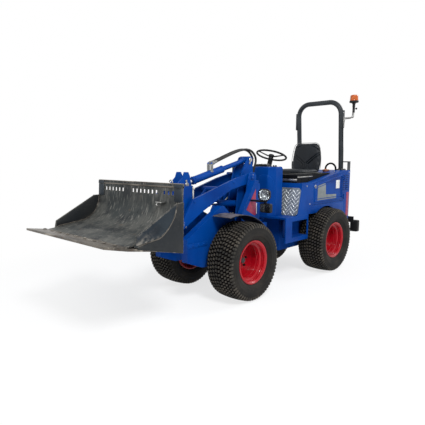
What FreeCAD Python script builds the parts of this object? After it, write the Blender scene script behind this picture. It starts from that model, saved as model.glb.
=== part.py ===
import FreeCAD, Part
import math
import os

# Compact articulated wheel loader, in millimetres.
# Frame while modelling: X forward to the bucket, Y to the machine's left, Z up,
# origin on the ground under the articulation pivot. The last section moves
# everything along X so that the origin lies under the middle of the whole length.

V = FreeCAD.Vector
Y_AXIS = V(0, 1, 0)
Z_AXIS = V(0, 0, 1)

# ---- driving dimensions ----------------------------------------------------

# Wheels, 29 x 12.50-15 turf tyres
wheelbase = 1520.0
half_track = 402.0
tyre_radius = 366.0
tyre_half_width = 152.5
tyre_wall = 16.0
rim_seat_radius = 190.0
rim_half_width = 122.0
rim_lip = 14.0
rim_wall = 10.0
rim_well_half = 66.0
rim_well_depth = 20.0
disc_inner = -32.0
disc_thickness = 10.0
hub_radius = 40.0
hub_length = 20.0
front_axle = wheelbase / 2.0
rear_axle = -wheelbase / 2.0
hub_height = tyre_radius

# Clearances
wheel_gap = 0.3
pin_gap = 0.15
seat_gap = 0.3
moving_gap = 8.0

# Chassis
frame_half = 215.0
plate = 12.0
beam_inner = 145.0
frame_bottom = 300.0
rear_frame_front = -90.0
rear_frame_rear = rear_axle - 558.0
front_frame_rear = 140.0
nose_front = 1306.0
nose_top = 609.0
nose_bottom = 400.0
lug_radius = 60.0
lug_thickness = 25.0
articulation_pin_radius = 22.0
hitch_bore_radius = 13.0
motor_radius = 105.0
motor_flange_radius = 88.0

# Boom tower and boom
boom_pivot = (315.0, 1113.0)
boom_tip = (1275.0, 730.0)
tilt_base = (238.0, 1290.0)
lift_base = (183.0, 825.0)
lift_eye = (895.0, 884.0)
tilt_eye = (1150.0, 1075.0)
arm_outer = 130.0
arm_plate = 24.0
boom_root_radius = 55.0
tip_radius = 45.0
pin_radius = 20.0
tower_plate = 15.0
tower_inner = 48.0
tower_rear = 268.0
cheek_inner = 138.0
torque_tube = (770.0, 1012.0)
torque_tube_radius = 30.0
boom_lug_inner = 38.0
boom_lug_plate = 14.0

# Cylinders
barrel_radius = 36.0
rod_radius = 18.0
eye_radius = 30.0
eye_half_width = 28.0

# Two hoses from the tilt cylinder's fittings over the tower to the bulkhead behind it; (x, z) route
hose_radius = 9.0
hose_offset = 22.0
hose_route = [(762.0, 1266.0), (633.0, 1306.0), (481.0, 1354.0), (355.0, 1388.0), (250.0, 1400.0),
              (160.0, 1384.0), (92.0, 1325.0), (84.0, 1262.0), (124.0, 1195.0), (130.0, 1110.0),
              (130.0, 1012.0)]
hose_end = hose_route[-1]
elbow_radius = 13.0

# Steering cylinder, lying flat beside the articulation; (x, y) of its two ends
steer_base = (-360.0, -120.0)
steer_eye = (200.0, -80.0)
steer_height = 470.0

# Coupler and bucket
coupler_inner = 62.0
coupler_plate = 18.0
bucket_half = 565.0
bucket_side = 10.0
bucket_plate = 10.0
bucket_heel = (1688.0, 606.0)
bucket_back_top = (1676.0, 1127.0)
bucket_lip = (2205.0, 731.0)
shell_arc_start = (1684.0, 985.0)
shell_arc_middle = (1749.0, 829.0)
shell_arc_end = (1905.0, 765.0)
edge_tip = (2392.0, 758.0)
edge_thickness = 20.0
edge_rear = 1950.0
bucket_side_front = (2146.0, 699.0)
slot_groups = ((-445.0, 6), (-50.0, 7), (345.0, 4))
slot_pitch = 50.0
slot_width = 27.0
slot_height = 30.0
slot_bottom = 1039.0

# Body
body_half = 400.0
sheet = 10.0
floor_top = 690.0
floor_thickness = 18.0
rear_frame_top = floor_top - floor_thickness
platform_front = 60.0
skirt_bottom = 420.0
step_back = 278.0
seat_box_front = -155.0
seat_box_lean = -83.0
seat_box_top = 1035.0
hood_rise_start = -450.0
hood_rise_end = rear_axle - 390.0
hood_top = 1148.0
hood_rear = rear_axle - 570.0
arch_height = 2 * tyre_radius + 33.0
arch_front = rear_axle + tyre_radius + 14.0
arch_rear = rear_axle - tyre_radius - 52.0
rear_skirt_bottom = 530.0
door_front = -470.0
door_rear = rear_axle - 410.0
door_gap = 4.0
door_hinge = (door_rear - 2.0, body_half + 6.0)
hinge_radius = 6.0
hinge_pin_radius = 3.0
hinge_heights = (820.0, 1040.0)
console_front = 60.0
console_rear = -120.0
console_half = 225.0
console_top = 1200.0

# Seat, controls and roll bar
seat_half = 230.0
deck_half = 330.0
deck_top = 1120.0
cushion_front = -500.0
cushion_rear = -925.0
cushion_top = 1170.0
backrest_top = 1485.0
shroud_rear = -205.0
column_base = (-178.0, 1195.0)
wheel_hub = (-230.0, 1335.0)
steering_radius = 175.0
steering_grip = 11.0
rops_half = 290.0
rops_foot_x = rear_axle - 540.0
rops_top_x = rear_axle - 475.0
rops_top = 2004.0
rops_tube = 29.0
rops_bend = 150.0
beacon_y = 444.0

nodes = {}


# ---- helpers ---------------------------------------------------------------

def prism_xz(points, y_low, y_high):
    """Solid with an outline in the XZ plane, between two values of Y."""
    corners = [V(x, y_low, z) for x, z in points]
    face = Part.Face(Part.makePolygon(corners + corners[:1]))
    return face.extrude(V(0, y_high - y_low, 0))


def prism_xy(points, z_low, z_high):
    """Solid with an outline in plan, between two heights."""
    corners = [V(x, y, z_low) for x, y in points]
    face = Part.Face(Part.makePolygon(corners + corners[:1]))
    return face.extrude(V(0, 0, z_high - z_low))


def block(x_low, x_high, y_low, y_high, z_low, z_high):
    return Part.makeBox(x_high - x_low, y_high - y_low, z_high - z_low, V(x_low, y_low, z_low))


def rod(start, end, radius):
    """Round bar between two points."""
    start = V(*start)
    along = V(*end) - start
    return Part.makeCylinder(radius, along.Length, start, along)


def cross_pin(centre, radius, y_low, y_high):
    """Round bar along Y at an (x, z) centre."""
    return Part.makeCylinder(radius, y_high - y_low, V(centre[0], y_low, centre[1]), Y_AXIS)


def fuse(shapes):
    whole = shapes[0]
    for shape in shapes[1:]:
        whole = whole.fuse(shape)
    return whole.removeSplitter()


def cut(shape, tools):
    for tool in tools:
        shape = shape.cut(tool)
    return shape


def mirrored(shape):
    """The same piece on the other side of the machine."""
    return shape.mirror(V(0, 0, 0), Y_AXIS)


def pair(shape):
    return [shape, mirrored(shape)]


def direction(start, end):
    """Unit vector from one (x, z) point to another."""
    span = math.hypot(end[0] - start[0], end[1] - start[1])
    return (end[0] - start[0]) / span, (end[1] - start[1]) / span


def along(start, end, distance):
    """The (x, z) point at a distance from start towards end."""
    ux, uz = direction(start, end)
    return start[0] + ux * distance, start[1] + uz * distance


def keep(name, shapes):
    nodes[name] = Part.makeCompound(shapes) if len(shapes) > 1 else shapes[0]


# ---- wheels ----------------------------------------------------------------

def tyre():
    """Hollow turf tyre about the Y axis, centred on the origin."""
    bead = rim_half_width - rim_lip - 1.0
    seat = rim_seat_radius + wheel_gap
    shoulder = tyre_half_width - 24.0
    crown_drop = 9.0
    outer = [
        Part.LineSegment(V(0, bead, seat), V(0, bead, seat + 16)),
        Part.Arc(V(0, bead, seat + 16), V(0, tyre_half_width, tyre_radius - 82),
                 V(0, shoulder + 11, tyre_radius - 21)),
        Part.LineSegment(V(0, shoulder + 11, tyre_radius - 21), V(0, shoulder, tyre_radius - crown_drop)),
        Part.Arc(V(0, shoulder, tyre_radius - crown_drop), V(0, 0, tyre_radius),
                 V(0, -shoulder, tyre_radius - crown_drop)),
        Part.LineSegment(V(0, -shoulder, tyre_radius - crown_drop), V(0, -shoulder - 11, tyre_radius - 21)),
        Part.Arc(V(0, -shoulder - 11, tyre_radius - 21), V(0, -tyre_half_width, tyre_radius - 82),
                 V(0, -bead, seat + 16)),
        Part.LineSegment(V(0, -bead, seat + 16), V(0, -bead, seat)),
        Part.LineSegment(V(0, -bead, seat), V(0, -bead + tyre_wall, seat)),
        Part.LineSegment(V(0, -bead + tyre_wall, seat), V(0, -bead + tyre_wall, seat + 20)),
        Part.Arc(V(0, -bead + tyre_wall, seat + 20), V(0, -tyre_half_width + tyre_wall, tyre_radius - 82),
                 V(0, -shoulder + 6, tyre_radius - 34)),
        Part.Arc(V(0, -shoulder + 6, tyre_radius - 34), V(0, 0, tyre_radius - 22),
                 V(0, shoulder - 6, tyre_radius - 34)),
        Part.Arc(V(0, shoulder - 6, tyre_radius - 34), V(0, tyre_half_width - tyre_wall, tyre_radius - 82),
                 V(0, bead - tyre_wall, seat + 20)),
        Part.LineSegment(V(0, bead - tyre_wall, seat + 20), V(0, bead - tyre_wall, seat)),
        Part.LineSegment(V(0, bead - tyre_wall, seat), V(0, bead, seat)),
    ]
    section = Part.Face(Part.Wire([curve.toShape() for curve in outer]))
    return section.revolve(V(0, 0, 0), Y_AXIS, 360)


def rim():
    """Rim with a drop well and a deep set disc, about the Y axis, outer side towards +Y."""
    disc_outer = disc_inner + disc_thickness
    inside = rim_seat_radius - rim_wall
    lip_radius = rim_seat_radius + rim_lip
    half = rim_half_width
    well = rim_well_half
    well_inside = inside - rim_well_depth
    well_outside = rim_seat_radius - rim_well_depth
    profile = [
        (disc_inner, 0), (disc_inner, well_inside), (-well, well_inside), (-well - 12, inside),
        (-half + rim_wall, inside), (-half, inside + 12),
        (-half, lip_radius), (-half + 8, lip_radius), (-half + rim_lip, rim_seat_radius),
        (-well - 16, rim_seat_radius), (-well - 4, well_outside), (well + 4, well_outside),
        (well + 16, rim_seat_radius),
        (half - rim_lip, rim_seat_radius), (half - 8, lip_radius), (half, lip_radius),
        (half, inside + 12), (half - rim_wall, inside), (well + 12, inside), (well, well_inside),
        (disc_outer, well_inside),
        (disc_outer, hub_radius), (disc_outer + hub_length, hub_radius - 6), (disc_outer + hub_length, 0)]
    corners = [V(0, w, r) for w, r in profile]
    section = Part.Face(Part.makePolygon(corners + corners[:1]))
    return section.revolve(V(0, 0, 0), Y_AXIS, 360)


def place_wheel(shape, x, side):
    placed = shape if side > 0 else shape.mirror(V(0, 0, 0), Y_AXIS)
    moved = placed.copy()
    moved.translate(V(x, side * half_track, hub_height))
    return moved


def build_wheels():
    tyre_shape = tyre()
    rim_shape = rim()
    for end, x in (("front", front_axle), ("rear", rear_axle)):
        for name, side in (("left", 1), ("right", -1)):
            keep("%s_%s_tyre" % (end, name), [place_wheel(tyre_shape, x, side)])
            keep("%s_%s_rim" % (end, name), [place_wheel(rim_shape, x, side)])
        keep("%s_wheel_motors" % end, pair(wheel_motor(x)))


def wheel_motor(x):
    """Hub motor from the chassis plate out to the rim's disc, left side."""
    flange_face = half_track + disc_inner - wheel_gap
    centre = (x, hub_height)
    return fuse([
        cross_pin(centre, motor_radius + 15, frame_half, frame_half + 14),
        cross_pin(centre, motor_radius, frame_half, flange_face - 60),
        cross_pin(centre, motor_flange_radius - 20, frame_half, flange_face),
        cross_pin(centre, motor_flange_radius, flange_face - 16, flange_face)])


# ---- rear chassis ----------------------------------------------------------

def lug(x_from, z_low, reach_half):
    """Flat articulation lug round the pivot, joined to a wall at x_from."""
    eye = Part.makeCylinder(lug_radius, lug_thickness, V(0, 0, z_low))
    tongue = prism_xy([(x_from, -reach_half), (x_from, reach_half), (0, lug_radius), (0, -lug_radius)],
                      z_low, z_low + lug_thickness)
    return eye.fuse(tongue)


lower_lug = frame_bottom + 30
upper_lug = rear_frame_top - lug_thickness


def build_rear_frame():
    side = block(rear_frame_rear, rear_frame_front, frame_half - plate, frame_half,
                 frame_bottom, rear_frame_top)
    front_wall = block(rear_frame_front - plate, rear_frame_front, -frame_half, frame_half,
                       frame_bottom, rear_frame_top)
    rear_wall = block(rear_frame_rear, rear_frame_rear + plate, -frame_half, frame_half,
                      frame_bottom, rear_frame_top)
    belly = block(rear_frame_rear, rear_frame_front, -frame_half, frame_half,
                  frame_bottom, frame_bottom + plate)
    pin_length = 2 * lug_thickness + 8
    lower = lug(rear_frame_front, lower_lug, 130).fuse(
        Part.makeCylinder(articulation_pin_radius, pin_length, V(0, 0, lower_lug)))
    upper = lug(rear_frame_front, upper_lug, 130).fuse(
        Part.makeCylinder(articulation_pin_radius, pin_length, V(0, 0, upper_lug + lug_thickness - pin_length)))
    keep("articulation_lugs", [lower.removeSplitter(), upper.removeSplitter()])
    outriggers = pair(block(-350, -310, frame_half, step_back, rear_frame_top - 40, rear_frame_top))
    outriggers += pair(block(rear_frame_rear + 8, rear_frame_rear + 48, frame_half, body_half - sheet,
                             rear_frame_top - 40, rear_frame_top))
    keep("frame_outriggers", outriggers)
    cylinder_window = block(rear_frame_front - plate - 1, rear_frame_front + 1, -frame_half + plate, 5,
                            steer_height - 45, steer_height + 45)
    ears = []
    for z in (steer_height - eye_half_width - 4 - plate, steer_height + eye_half_width + 4):
        ears.append(block(steer_base[0] - 40, steer_base[0] + 30, -frame_half + plate - 1,
                          steer_base[1] + 35, z, z + plate))
    ears.append(Part.makeCylinder(pin_radius, 2 * (eye_half_width + 4 + plate),
                                  V(steer_base[0], steer_base[1], steer_height - eye_half_width - 4 - plate)))
    hitch_pad = block(rear_frame_rear - 90, rear_frame_rear, -45, 45, 380, 405)
    hitch_roof = block(rear_frame_rear - 90, rear_frame_rear, -45, 45, 455, 480)
    hitch_bore = Part.makeCylinder(hitch_bore_radius, 120, V(rear_frame_rear - 55, 0, 370))
    hitch = [hitch_pad.cut(hitch_bore), hitch_roof.cut(hitch_bore)]
    walls = pair(side) + [front_wall.cut(cylinder_window), rear_wall, belly]
    keep("rear_frame", [fuse(walls + ears + hitch)])
    engine_foot = frame_bottom + plate
    engine_half = min(175.0, frame_half - 40.0)
    engine = [block(rear_axle - 470, rear_axle + 100, -engine_half, engine_half, engine_foot + 40, 980)]
    for x in (rear_axle - 440, rear_axle + 10):
        engine.extend(pair(block(x, x + 60, engine_half - 75, engine_half - 15, engine_foot, engine_foot + 41)))
    keep("engine_block", [fuse(engine)])


def build_platform():
    front, rear = platform_front, arch_front
    floor = block(rear, front, -body_half, body_half, floor_top - floor_thickness, floor_top)
    skirt = block(rear, front, body_half - plate, body_half, skirt_bottom, floor_top)
    recess = block(rear + 15, -60, body_half - plate - 1, body_half + 1, skirt_bottom + 45, 640)
    tread = block(rear + 15, -60, step_back + plate - 1, body_half - plate, skirt_bottom + 33, skirt_bottom + 45)
    tread_back = block(rear + 15, -60, step_back, step_back + plate, skirt_bottom + 33, floor_top - 5)
    keep("platform", [fuse([floor] + pair(skirt.cut(recess)) + pair(tread) + pair(tread_back))])


def seat_front(z):
    """X of the leaning front wall of the seat box at a height."""
    return seat_box_front + seat_box_lean * (z - floor_top) / (seat_box_top - floor_top)


def build_kick_plates():
    thickness = 4.0
    low, high = floor_top + seat_gap, 985.0
    chamfer = 28.0
    outline = [(130, low), (body_half - chamfer, low), (body_half - 3, low + chamfer),
               (body_half - 3, high - chamfer), (body_half - chamfer, high), (130 + chamfer, high),
               (130, high - chamfer)]
    corners = [V(seat_front(z) + seat_gap, y, z) for y, z in outline]
    face = Part.Face(Part.makePolygon(corners + corners[:1]))
    keep("kick_plates", pair(face.extrude(V(thickness, 0, 0))))


def hood_outline(inset):
    """Side outline of the body shell, drawn in by an inset all round."""
    i = inset
    return [
        (seat_box_front - i, floor_top + i), (seat_front(seat_box_top) - i, seat_box_top - i),
        (hood_rise_start, seat_box_top - i), (hood_rise_end, hood_top - i), (hood_rear + i, hood_top - i),
        (hood_rear + i, rear_skirt_bottom + i), (arch_rear - i, rear_skirt_bottom + i),
        (arch_rear - i, arch_height + i), (arch_front + i, arch_height + i), (arch_front + i, floor_top + i)]


def door_outline(inset):
    i = inset
    slope = (hood_top - seat_box_top) / (hood_rise_start - hood_rise_end)

    def top(x):
        return seat_box_top - 22 + max(0.0, hood_rise_start - x) * slope
    rear_x = door_rear + i
    front_x = door_front - i
    return [(front_x, arch_height + 22 + i), (front_x, top(front_x) - i),
            (rear_x, min(top(rear_x), hood_top - 22) - i), (rear_x, arch_height + 22 + i)]


def door_hinges():
    """Knuckles on the left door, and the shell's ears with their pins, at the door's rear edge."""
    axis_x, axis_y = door_hinge
    knuckle, ear, leaf = 34.0, 12.0, 3.0
    knuckles, ears = [], []
    for z in hinge_heights:
        barrel = Part.makeCylinder(hinge_radius, knuckle, V(axis_x, axis_y, z))
        tab = block(axis_x, axis_x + 45, body_half, body_half + leaf, z, z + knuckle)
        bore = Part.makeCylinder(hinge_pin_radius + pin_gap, knuckle, V(axis_x, axis_y, z))
        knuckles.append(barrel.fuse(tab).cut(bore))
        pin_low = z - ear - seat_gap
        pieces = [Part.makeCylinder(hinge_pin_radius, knuckle + 2 * (ear + seat_gap), V(axis_x, axis_y, pin_low))]
        for low in (pin_low, z + knuckle + seat_gap):
            pieces.append(Part.makeCylinder(hinge_radius, ear, V(axis_x, axis_y, low)))
            pieces.append(block(axis_x - 40, axis_x, body_half - 0.5, body_half + leaf, low, low + ear))
        ears.append(fuse(pieces))
    return knuckles, ears


def build_body_shell():
    outer = prism_xz(hood_outline(0), -body_half, body_half)
    inner = prism_xz(hood_outline(sheet), -body_half + sheet, body_half - sheet)
    # open below, between the arches and behind the seat box
    mouth = block(hood_rear + sheet, arch_rear - sheet, -body_half + sheet, body_half - sheet,
                  rear_skirt_bottom - 1, rear_skirt_bottom + sheet + 1)
    well_half = frame_half + seat_gap
    well = block(hood_rear + sheet, seat_box_front - sheet - 20, -well_half, well_half,
                 rear_skirt_bottom - 1, arch_height + sheet + 1)
    rear_window = block(hood_rear - 1, hood_rear + sheet + 1, -300, 300, 600, 1080)
    door_hole = prism_xz(door_outline(-door_gap), body_half - sheet - 1, body_half + 1)
    shell = cut(outer, [inner, mouth, well, rear_window, door_hole, mirrored(door_hole)])
    knuckles, ears = door_hinges()
    keep("engine_cover", [fuse([shell] + ears + [mirrored(ear) for ear in ears])])
    left_door = prism_xz(door_outline(0), body_half - sheet, body_half)
    left_door = fuse([left_door] + knuckles)
    keep("left_service_door", [left_door])
    keep("right_service_door", [mirrored(left_door)])
    grille = block(hood_rear, hood_rear + sheet, -300 + seat_gap, 300 - seat_gap,
                   600 + seat_gap, 1080 - seat_gap)
    keep("rear_grille", [grille])


def build_console():
    front, rear, half = console_front, console_rear, console_half
    corner = 60.0
    outline = [(rear, -half), (front - corner, -half), (front, -half + corner), (front, half - corner),
               (front - corner, half), (rear, half)]
    body = prism_xy(outline, floor_top + seat_gap, console_top)
    foot_room = block(rear - 1, rear + 70, -half + 25, half - 25, floor_top + 60, console_top - 160)
    keep("console", [body.cut(foot_room)])
    base = V(column_base[0], 0, column_base[1])
    hub = V(wheel_hub[0], 0, wheel_hub[1])
    axis = hub - base
    axis.normalize()
    column = Part.makeCylinder(26, (hub - base).Length + 10 - seat_gap, base - axis * 30, axis)
    shroud = block(shroud_rear, console_rear - seat_gap, -45, 45, console_top - 140, console_top - 5)
    keep("steering_column", [shroud.fuse(column)])
    ring = Part.makeTorus(steering_radius - steering_grip, steering_grip, hub, axis)
    boss = Part.makeCylinder(32, 40, hub - axis * 20, axis)
    spokes = []
    side = V(0, 1, 0)
    forward = side.cross(axis)
    for angle in (90.0, 210.0, 330.0):
        a = math.radians(angle)
        outward = forward * math.cos(a) + side * math.sin(a)
        spokes.append(Part.makeCylinder(9, steering_radius - steering_grip, hub, outward))
    keep("steering_wheel", [fuse([ring, boss] + spokes)])
    levers = []
    for offset in (-150.0, -190.0):
        foot = Part.makeCylinder(14, 12, V(-60, offset, console_top))
        stick = rod((-60, offset, console_top + 8), (-75, offset, console_top + 95), 6)
        knob = Part.makeSphere(15, V(-76, offset, console_top + 102))
        levers.append(fuse([foot, stick, knob]))
    keep("control_levers", levers)


def build_seat():
    deck_front = seat_front(seat_box_top) - 4
    foot = seat_box_top + seat_gap
    deck = block(-985, deck_front, -deck_half, deck_half, foot, deck_top)
    deck = deck.cut(prism_xz([(hood_rise_start, foot), (hood_rise_end, hood_top + seat_gap),
                              (hood_rise_end, foot - 50), (hood_rise_start, foot - 50)],
                             -deck_half - 1, deck_half + 1))
    keep("seat_deck", [deck])
    cushion = block(cushion_rear, cushion_front, -seat_half, seat_half, deck_top + seat_gap, cushion_top)
    edges = [edge for edge in cushion.Edges if edge.CenterOfMass.z > cushion_top - 1]
    keep("seat_cushion", [cushion.makeFillet(20, edges)])
    foot = deck_top + seat_gap
    section = [(-930, foot), (-970, foot), (-1003, 1185), (-1024, 1260), (-1020, 1450), (-1002, backrest_top),
               (-978, backrest_top), (-964, 1445), (-954, 1250)]
    half = 206.0
    back = prism_xz(section, -half, half)
    trim = []
    for side in (1, -1):
        corner = [V(-1100, side * (half + 1), 1290), V(-1100, side * (half + 1), backrest_top + 10),
                  V(-1100, side * 126, backrest_top + 10), V(-1100, side * 150, 1440)]
        trim.append(Part.Face(Part.makePolygon(corner + corner[:1])).extrude(V(300, 0, 0)))
    keep("seat_backrest", [cut(back, trim)])


def build_rops():
    foot_z = hood_top + 10
    run = rops_top - rops_tube - rops_bend
    total = rops_top - rops_tube - foot_z
    lean_at = rops_foot_x + (rops_top_x - rops_foot_x) * (run - foot_z) / total
    half = rops_half
    top_z = rops_top - rops_tube
    bend_mid = rops_bend * (1 - math.sqrt(0.5))
    mid_x = lean_at + (rops_top_x - lean_at) * math.sqrt(0.5)
    left = [V(rops_foot_x, half, foot_z), V(lean_at, half, run), V(mid_x, half - bend_mid, top_z - bend_mid),
            V(rops_top_x, half - rops_bend, top_z)]
    path = Part.Wire([
        Part.LineSegment(left[0], left[1]).toShape(),
        Part.Arc(left[1], left[2], left[3]).toShape(),
        Part.LineSegment(left[3], V(left[3].x, -left[3].y, left[3].z)).toShape(),
        Part.Arc(V(left[3].x, -left[3].y, left[3].z), V(left[2].x, -left[2].y, left[2].z),
                 V(left[1].x, -left[1].y, left[1].z)).toShape(),
        Part.LineSegment(V(left[1].x, -left[1].y, left[1].z), V(left[0].x, -left[0].y, left[0].z)).toShape()])
    start = Part.Wire([Part.makeCircle(rops_tube, left[0], left[1] - left[0])])
    hoop = path.makePipeShell([start], True, True)
    feet = pair(block(hood_rear, rops_foot_x + 60, half - 50, half + 50, hood_top, hood_top + 12))
    feet += pair(block(rops_foot_x - 30, rops_foot_x + 30, half, body_half - 2, hood_top + 95, hood_top + 107))
    feet += pair(block(rops_foot_x - 30, rops_foot_x + 30, body_half - 12, body_half - 2,
                       hood_top, hood_top + 107))
    post_x = rops_foot_x + (rops_top_x - rops_foot_x) * (1775 - foot_z) / total
    side_plates = pair(block(post_x - 22, post_x + 22, half + rops_tube - 12, half + rops_tube + 5, 1660, 1868))
    keep("rops_frame", [fuse([hoop] + feet + side_plates)])
    # the beacon stands on a cranked stay that hangs on the left post's side plate
    clip = block(post_x - 12, post_x + 12, half + rops_tube + 5 + seat_gap, half + rops_tube + 14, 1672, 1784)
    stay = rod((post_x, half + rops_tube + 8, 1775), (post_x, beacon_y, 1775), 8)
    stem = rod((post_x, beacon_y, 1764), (post_x, beacon_y, 1840), 9.5)
    socket = rod((post_x, beacon_y, 1830), (post_x, beacon_y, 1950), 14)
    base = Part.makeCylinder(52, 24, V(post_x, beacon_y, 1943))
    dome = Part.makeCone(49, 43, 69, V(post_x, beacon_y, 1966))
    keep("beacon", [fuse([clip, stay, stem, socket, base, dome])])


def build_rear_fittings():
    bracket = block(hood_rear - 8, hood_rear - seat_gap, 330, 470, 500, 575)
    lamp = block(hood_rear - 68, hood_rear - 4, 425, 520, 386, 529)
    keep("rear_lamps", pair(lamp.fuse(bracket).removeSplitter()))
    near, far, shoulder = 140.0, 276.0, hood_top + 15
    bend = (far - near) / 2
    x = rear_axle - 435.0
    path = Part.Wire([
        Part.LineSegment(V(x, near, hood_top), V(x, near, shoulder)).toShape(),
        Part.Arc(V(x, near, shoulder), V(x, near + bend, shoulder + bend), V(x, far, shoulder)).toShape(),
        Part.LineSegment(V(x, far, shoulder), V(x, far, hood_top)).toShape()])
    end = Part.Wire([Part.makeCircle(11, V(x, near, hood_top), Z_AXIS)])
    keep("hood_handle", [path.makePipeShell([end], True, True)])


# ---- front chassis ---------------------------------------------------------

front_deck = 640.0
front_top_edge = [(front_frame_rear, front_deck), (500.0, front_deck), (640.0, 700.0), (815.0, 866.0),
                  (852.0, 870.0), (1014.0, 779.0), (nose_front, nose_top)]
front_bottom_edge = [(nose_front, nose_bottom), (1120.0, 330.0), (500.0, frame_bottom),
                     (front_frame_rear, frame_bottom)]


def build_front_frame():
    outline = front_top_edge + front_bottom_edge
    outer_plate = prism_xz(outline, frame_half - plate, frame_half)
    inner_plate = prism_xz(outline, beam_inner, beam_inner + plate)
    lowered = [(x, z - plate) for x, z in reversed(front_top_edge)]
    top_strip = prism_xz(front_top_edge + lowered, beam_inner, frame_half)
    front_plate = block(nose_front - plate, nose_front, beam_inner, frame_half, nose_bottom, nose_top)
    beams = []
    for piece in (outer_plate, inner_plate, top_strip, front_plate):
        beams.extend(pair(piece))
    rear_wall = block(front_frame_rear, front_frame_rear + plate, -frame_half, frame_half,
                      frame_bottom, front_deck)
    cylinder_window = block(front_frame_rear - 1, front_frame_rear + plate + 1, -beam_inner,
                            steer_eye[1] + 90, steer_height - 45, steer_height + 45)
    ears = []
    for z in (steer_height - eye_half_width - 6 - plate, steer_height + eye_half_width + 6):
        ears.append(block(front_frame_rear + 1, steer_eye[0] + 40, -beam_inner - 1, steer_eye[1] + 45, z, z + plate))
    belly = block(front_frame_rear, 600, -frame_half, frame_half, frame_bottom, frame_bottom + plate)
    deck = block(front_frame_rear, 470, -frame_half, frame_half, front_deck - plate, front_deck)
    lug_low = lower_lug + lug_thickness + 1
    lugs = [lug(front_frame_rear + 1, lug_low, 110),
            lug(front_frame_rear + 1, upper_lug - lug_thickness - 1, 110)]
    bore = Part.makeCylinder(articulation_pin_radius + pin_gap, 800, V(0, 0, 0))
    frame = fuse(beams + [rear_wall.cut(cylinder_window), belly, deck] + lugs + ears)
    keep("front_frame", [frame.cut(bore)])


def tower_side(outline, inner):
    return prism_xz(outline, inner, inner + tower_plate)


def build_tower():
    ax, az = lift_base
    kx, kz = tilt_base
    px, pz = boom_pivot
    deck = front_deck
    spine = [(ax - 36, az - 36), (ax - 36, az + 36), (kx - 42, kz - 60), (kx - 36, kz + 25), (kx, kz + 36),
             (kx + 34, kz + 25), (px + 52, pz + 60), (px + 110, pz - 120), (470, deck), (250, deck)]
    cheek = [(250, deck), (250, pz + 20), (px - 40, pz + 50), (px + 40, pz + 50), (px + 60, pz),
             (430, 800), (430, deck)]
    gusset = [(290, deck), (290, 1085), (340, 1085), (363, 1061), (549, 764), (545, 662), (500, deck)]
    flange = [(340, 1085), (363, 1061), (549, 764), (537, 757), (351, 1053), (328, 1077)]
    pieces = pair(tower_side(spine, tower_inner)) + pair(tower_side(cheek, cheek_inner))
    pieces += pair(prism_xz(gusset, frame_half - plate, frame_half))
    pieces += pair(prism_xz(flange, cheek_inner + tower_plate - 1, frame_half))
    pieces += pair(block(tower_rear, tower_rear + plate, tower_inner, frame_half, deck, 1050))
    pieces += pair(block(tower_rear, 300, frame_half - plate, frame_half, deck, 1050))
    bulkhead = [(hose_end[0] - 14, hose_offset + 12), (150, tower_inner + tower_plate),
                (185, tower_inner + tower_plate)]
    bulkhead += [(x, -y) for x, y in reversed(bulkhead)]
    bulkhead_top = hose_end[1] - 2 * seat_gap
    pieces.append(prism_xy(bulkhead, bulkhead_top - plate, bulkhead_top))
    pins = [cross_pin(boom_pivot, pin_radius, -cheek_inner - tower_plate - 8, cheek_inner + tower_plate + 8),
            cross_pin(tilt_base, pin_radius, -tower_inner - tower_plate - 8, tower_inner + tower_plate + 8),
            cross_pin(lift_base, pin_radius, -tower_inner - tower_plate - 8, tower_inner + tower_plate + 8)]
    keep("boom_tower", [fuse(pieces + pins)])


def build_fenders():
    """Curved sheets over the front wheels, flatter than the tyre and set behind its crown."""
    inner_radius, thickness = tyre_radius + 234.0, 5.0
    centre = (front_axle + 105.0, hub_height - 166.0)
    start, sweep = 78.0, 77.0
    low, high = frame_half + 10, 442.0
    ring = cross_pin(centre, inner_radius + thickness, low, high).cut(
        cross_pin(centre, inner_radius, low - 1, high + 1))
    reach = 2 * inner_radius
    wedge = [centre]
    for step in range(5):
        angle = math.radians(start + sweep * step / 4.0)
        wedge.append((centre[0] + reach * math.cos(angle), centre[1] + reach * math.sin(angle)))
    shell = ring.common(prism_xz(wedge, low - 1, high + 1))

    def under(x):
        return centre[1] + math.sqrt((inner_radius + 2.5) ** 2 - (x - centre[0]) ** 2)
    rear_x, front_x = front_axle - 45.0, front_axle + 15.0
    bracket = prism_xz([(rear_x, under(rear_x) - 15), (front_x, under(front_x) - 27),
                        (front_x, under(front_x)), (rear_x, under(rear_x))], frame_half, low + 60)
    keep("front_fenders", pair(fuse([shell, bracket])))


def build_headlights():
    base = 2 * tyre_radius + 50
    body = block(385, 455, 335, 470, base + 118, base + 234)
    edges = [edge for edge in body.Edges if abs(edge.Vertexes[0].X - edge.Vertexes[1].X) > 1]
    body = body.makeFillet(30, edges)
    arm = block(395, 425, frame_half + seat_gap, 400, base + 98, base + 119)
    signal = block(395, 440, 345, 465, base, base + 90)
    strap = block(400, 408, 370, 400, base + 88, base + 100)
    keep("headlights", pair(fuse([body, arm, signal, strap])))


# ---- boom and cylinders ----------------------------------------------------

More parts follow.
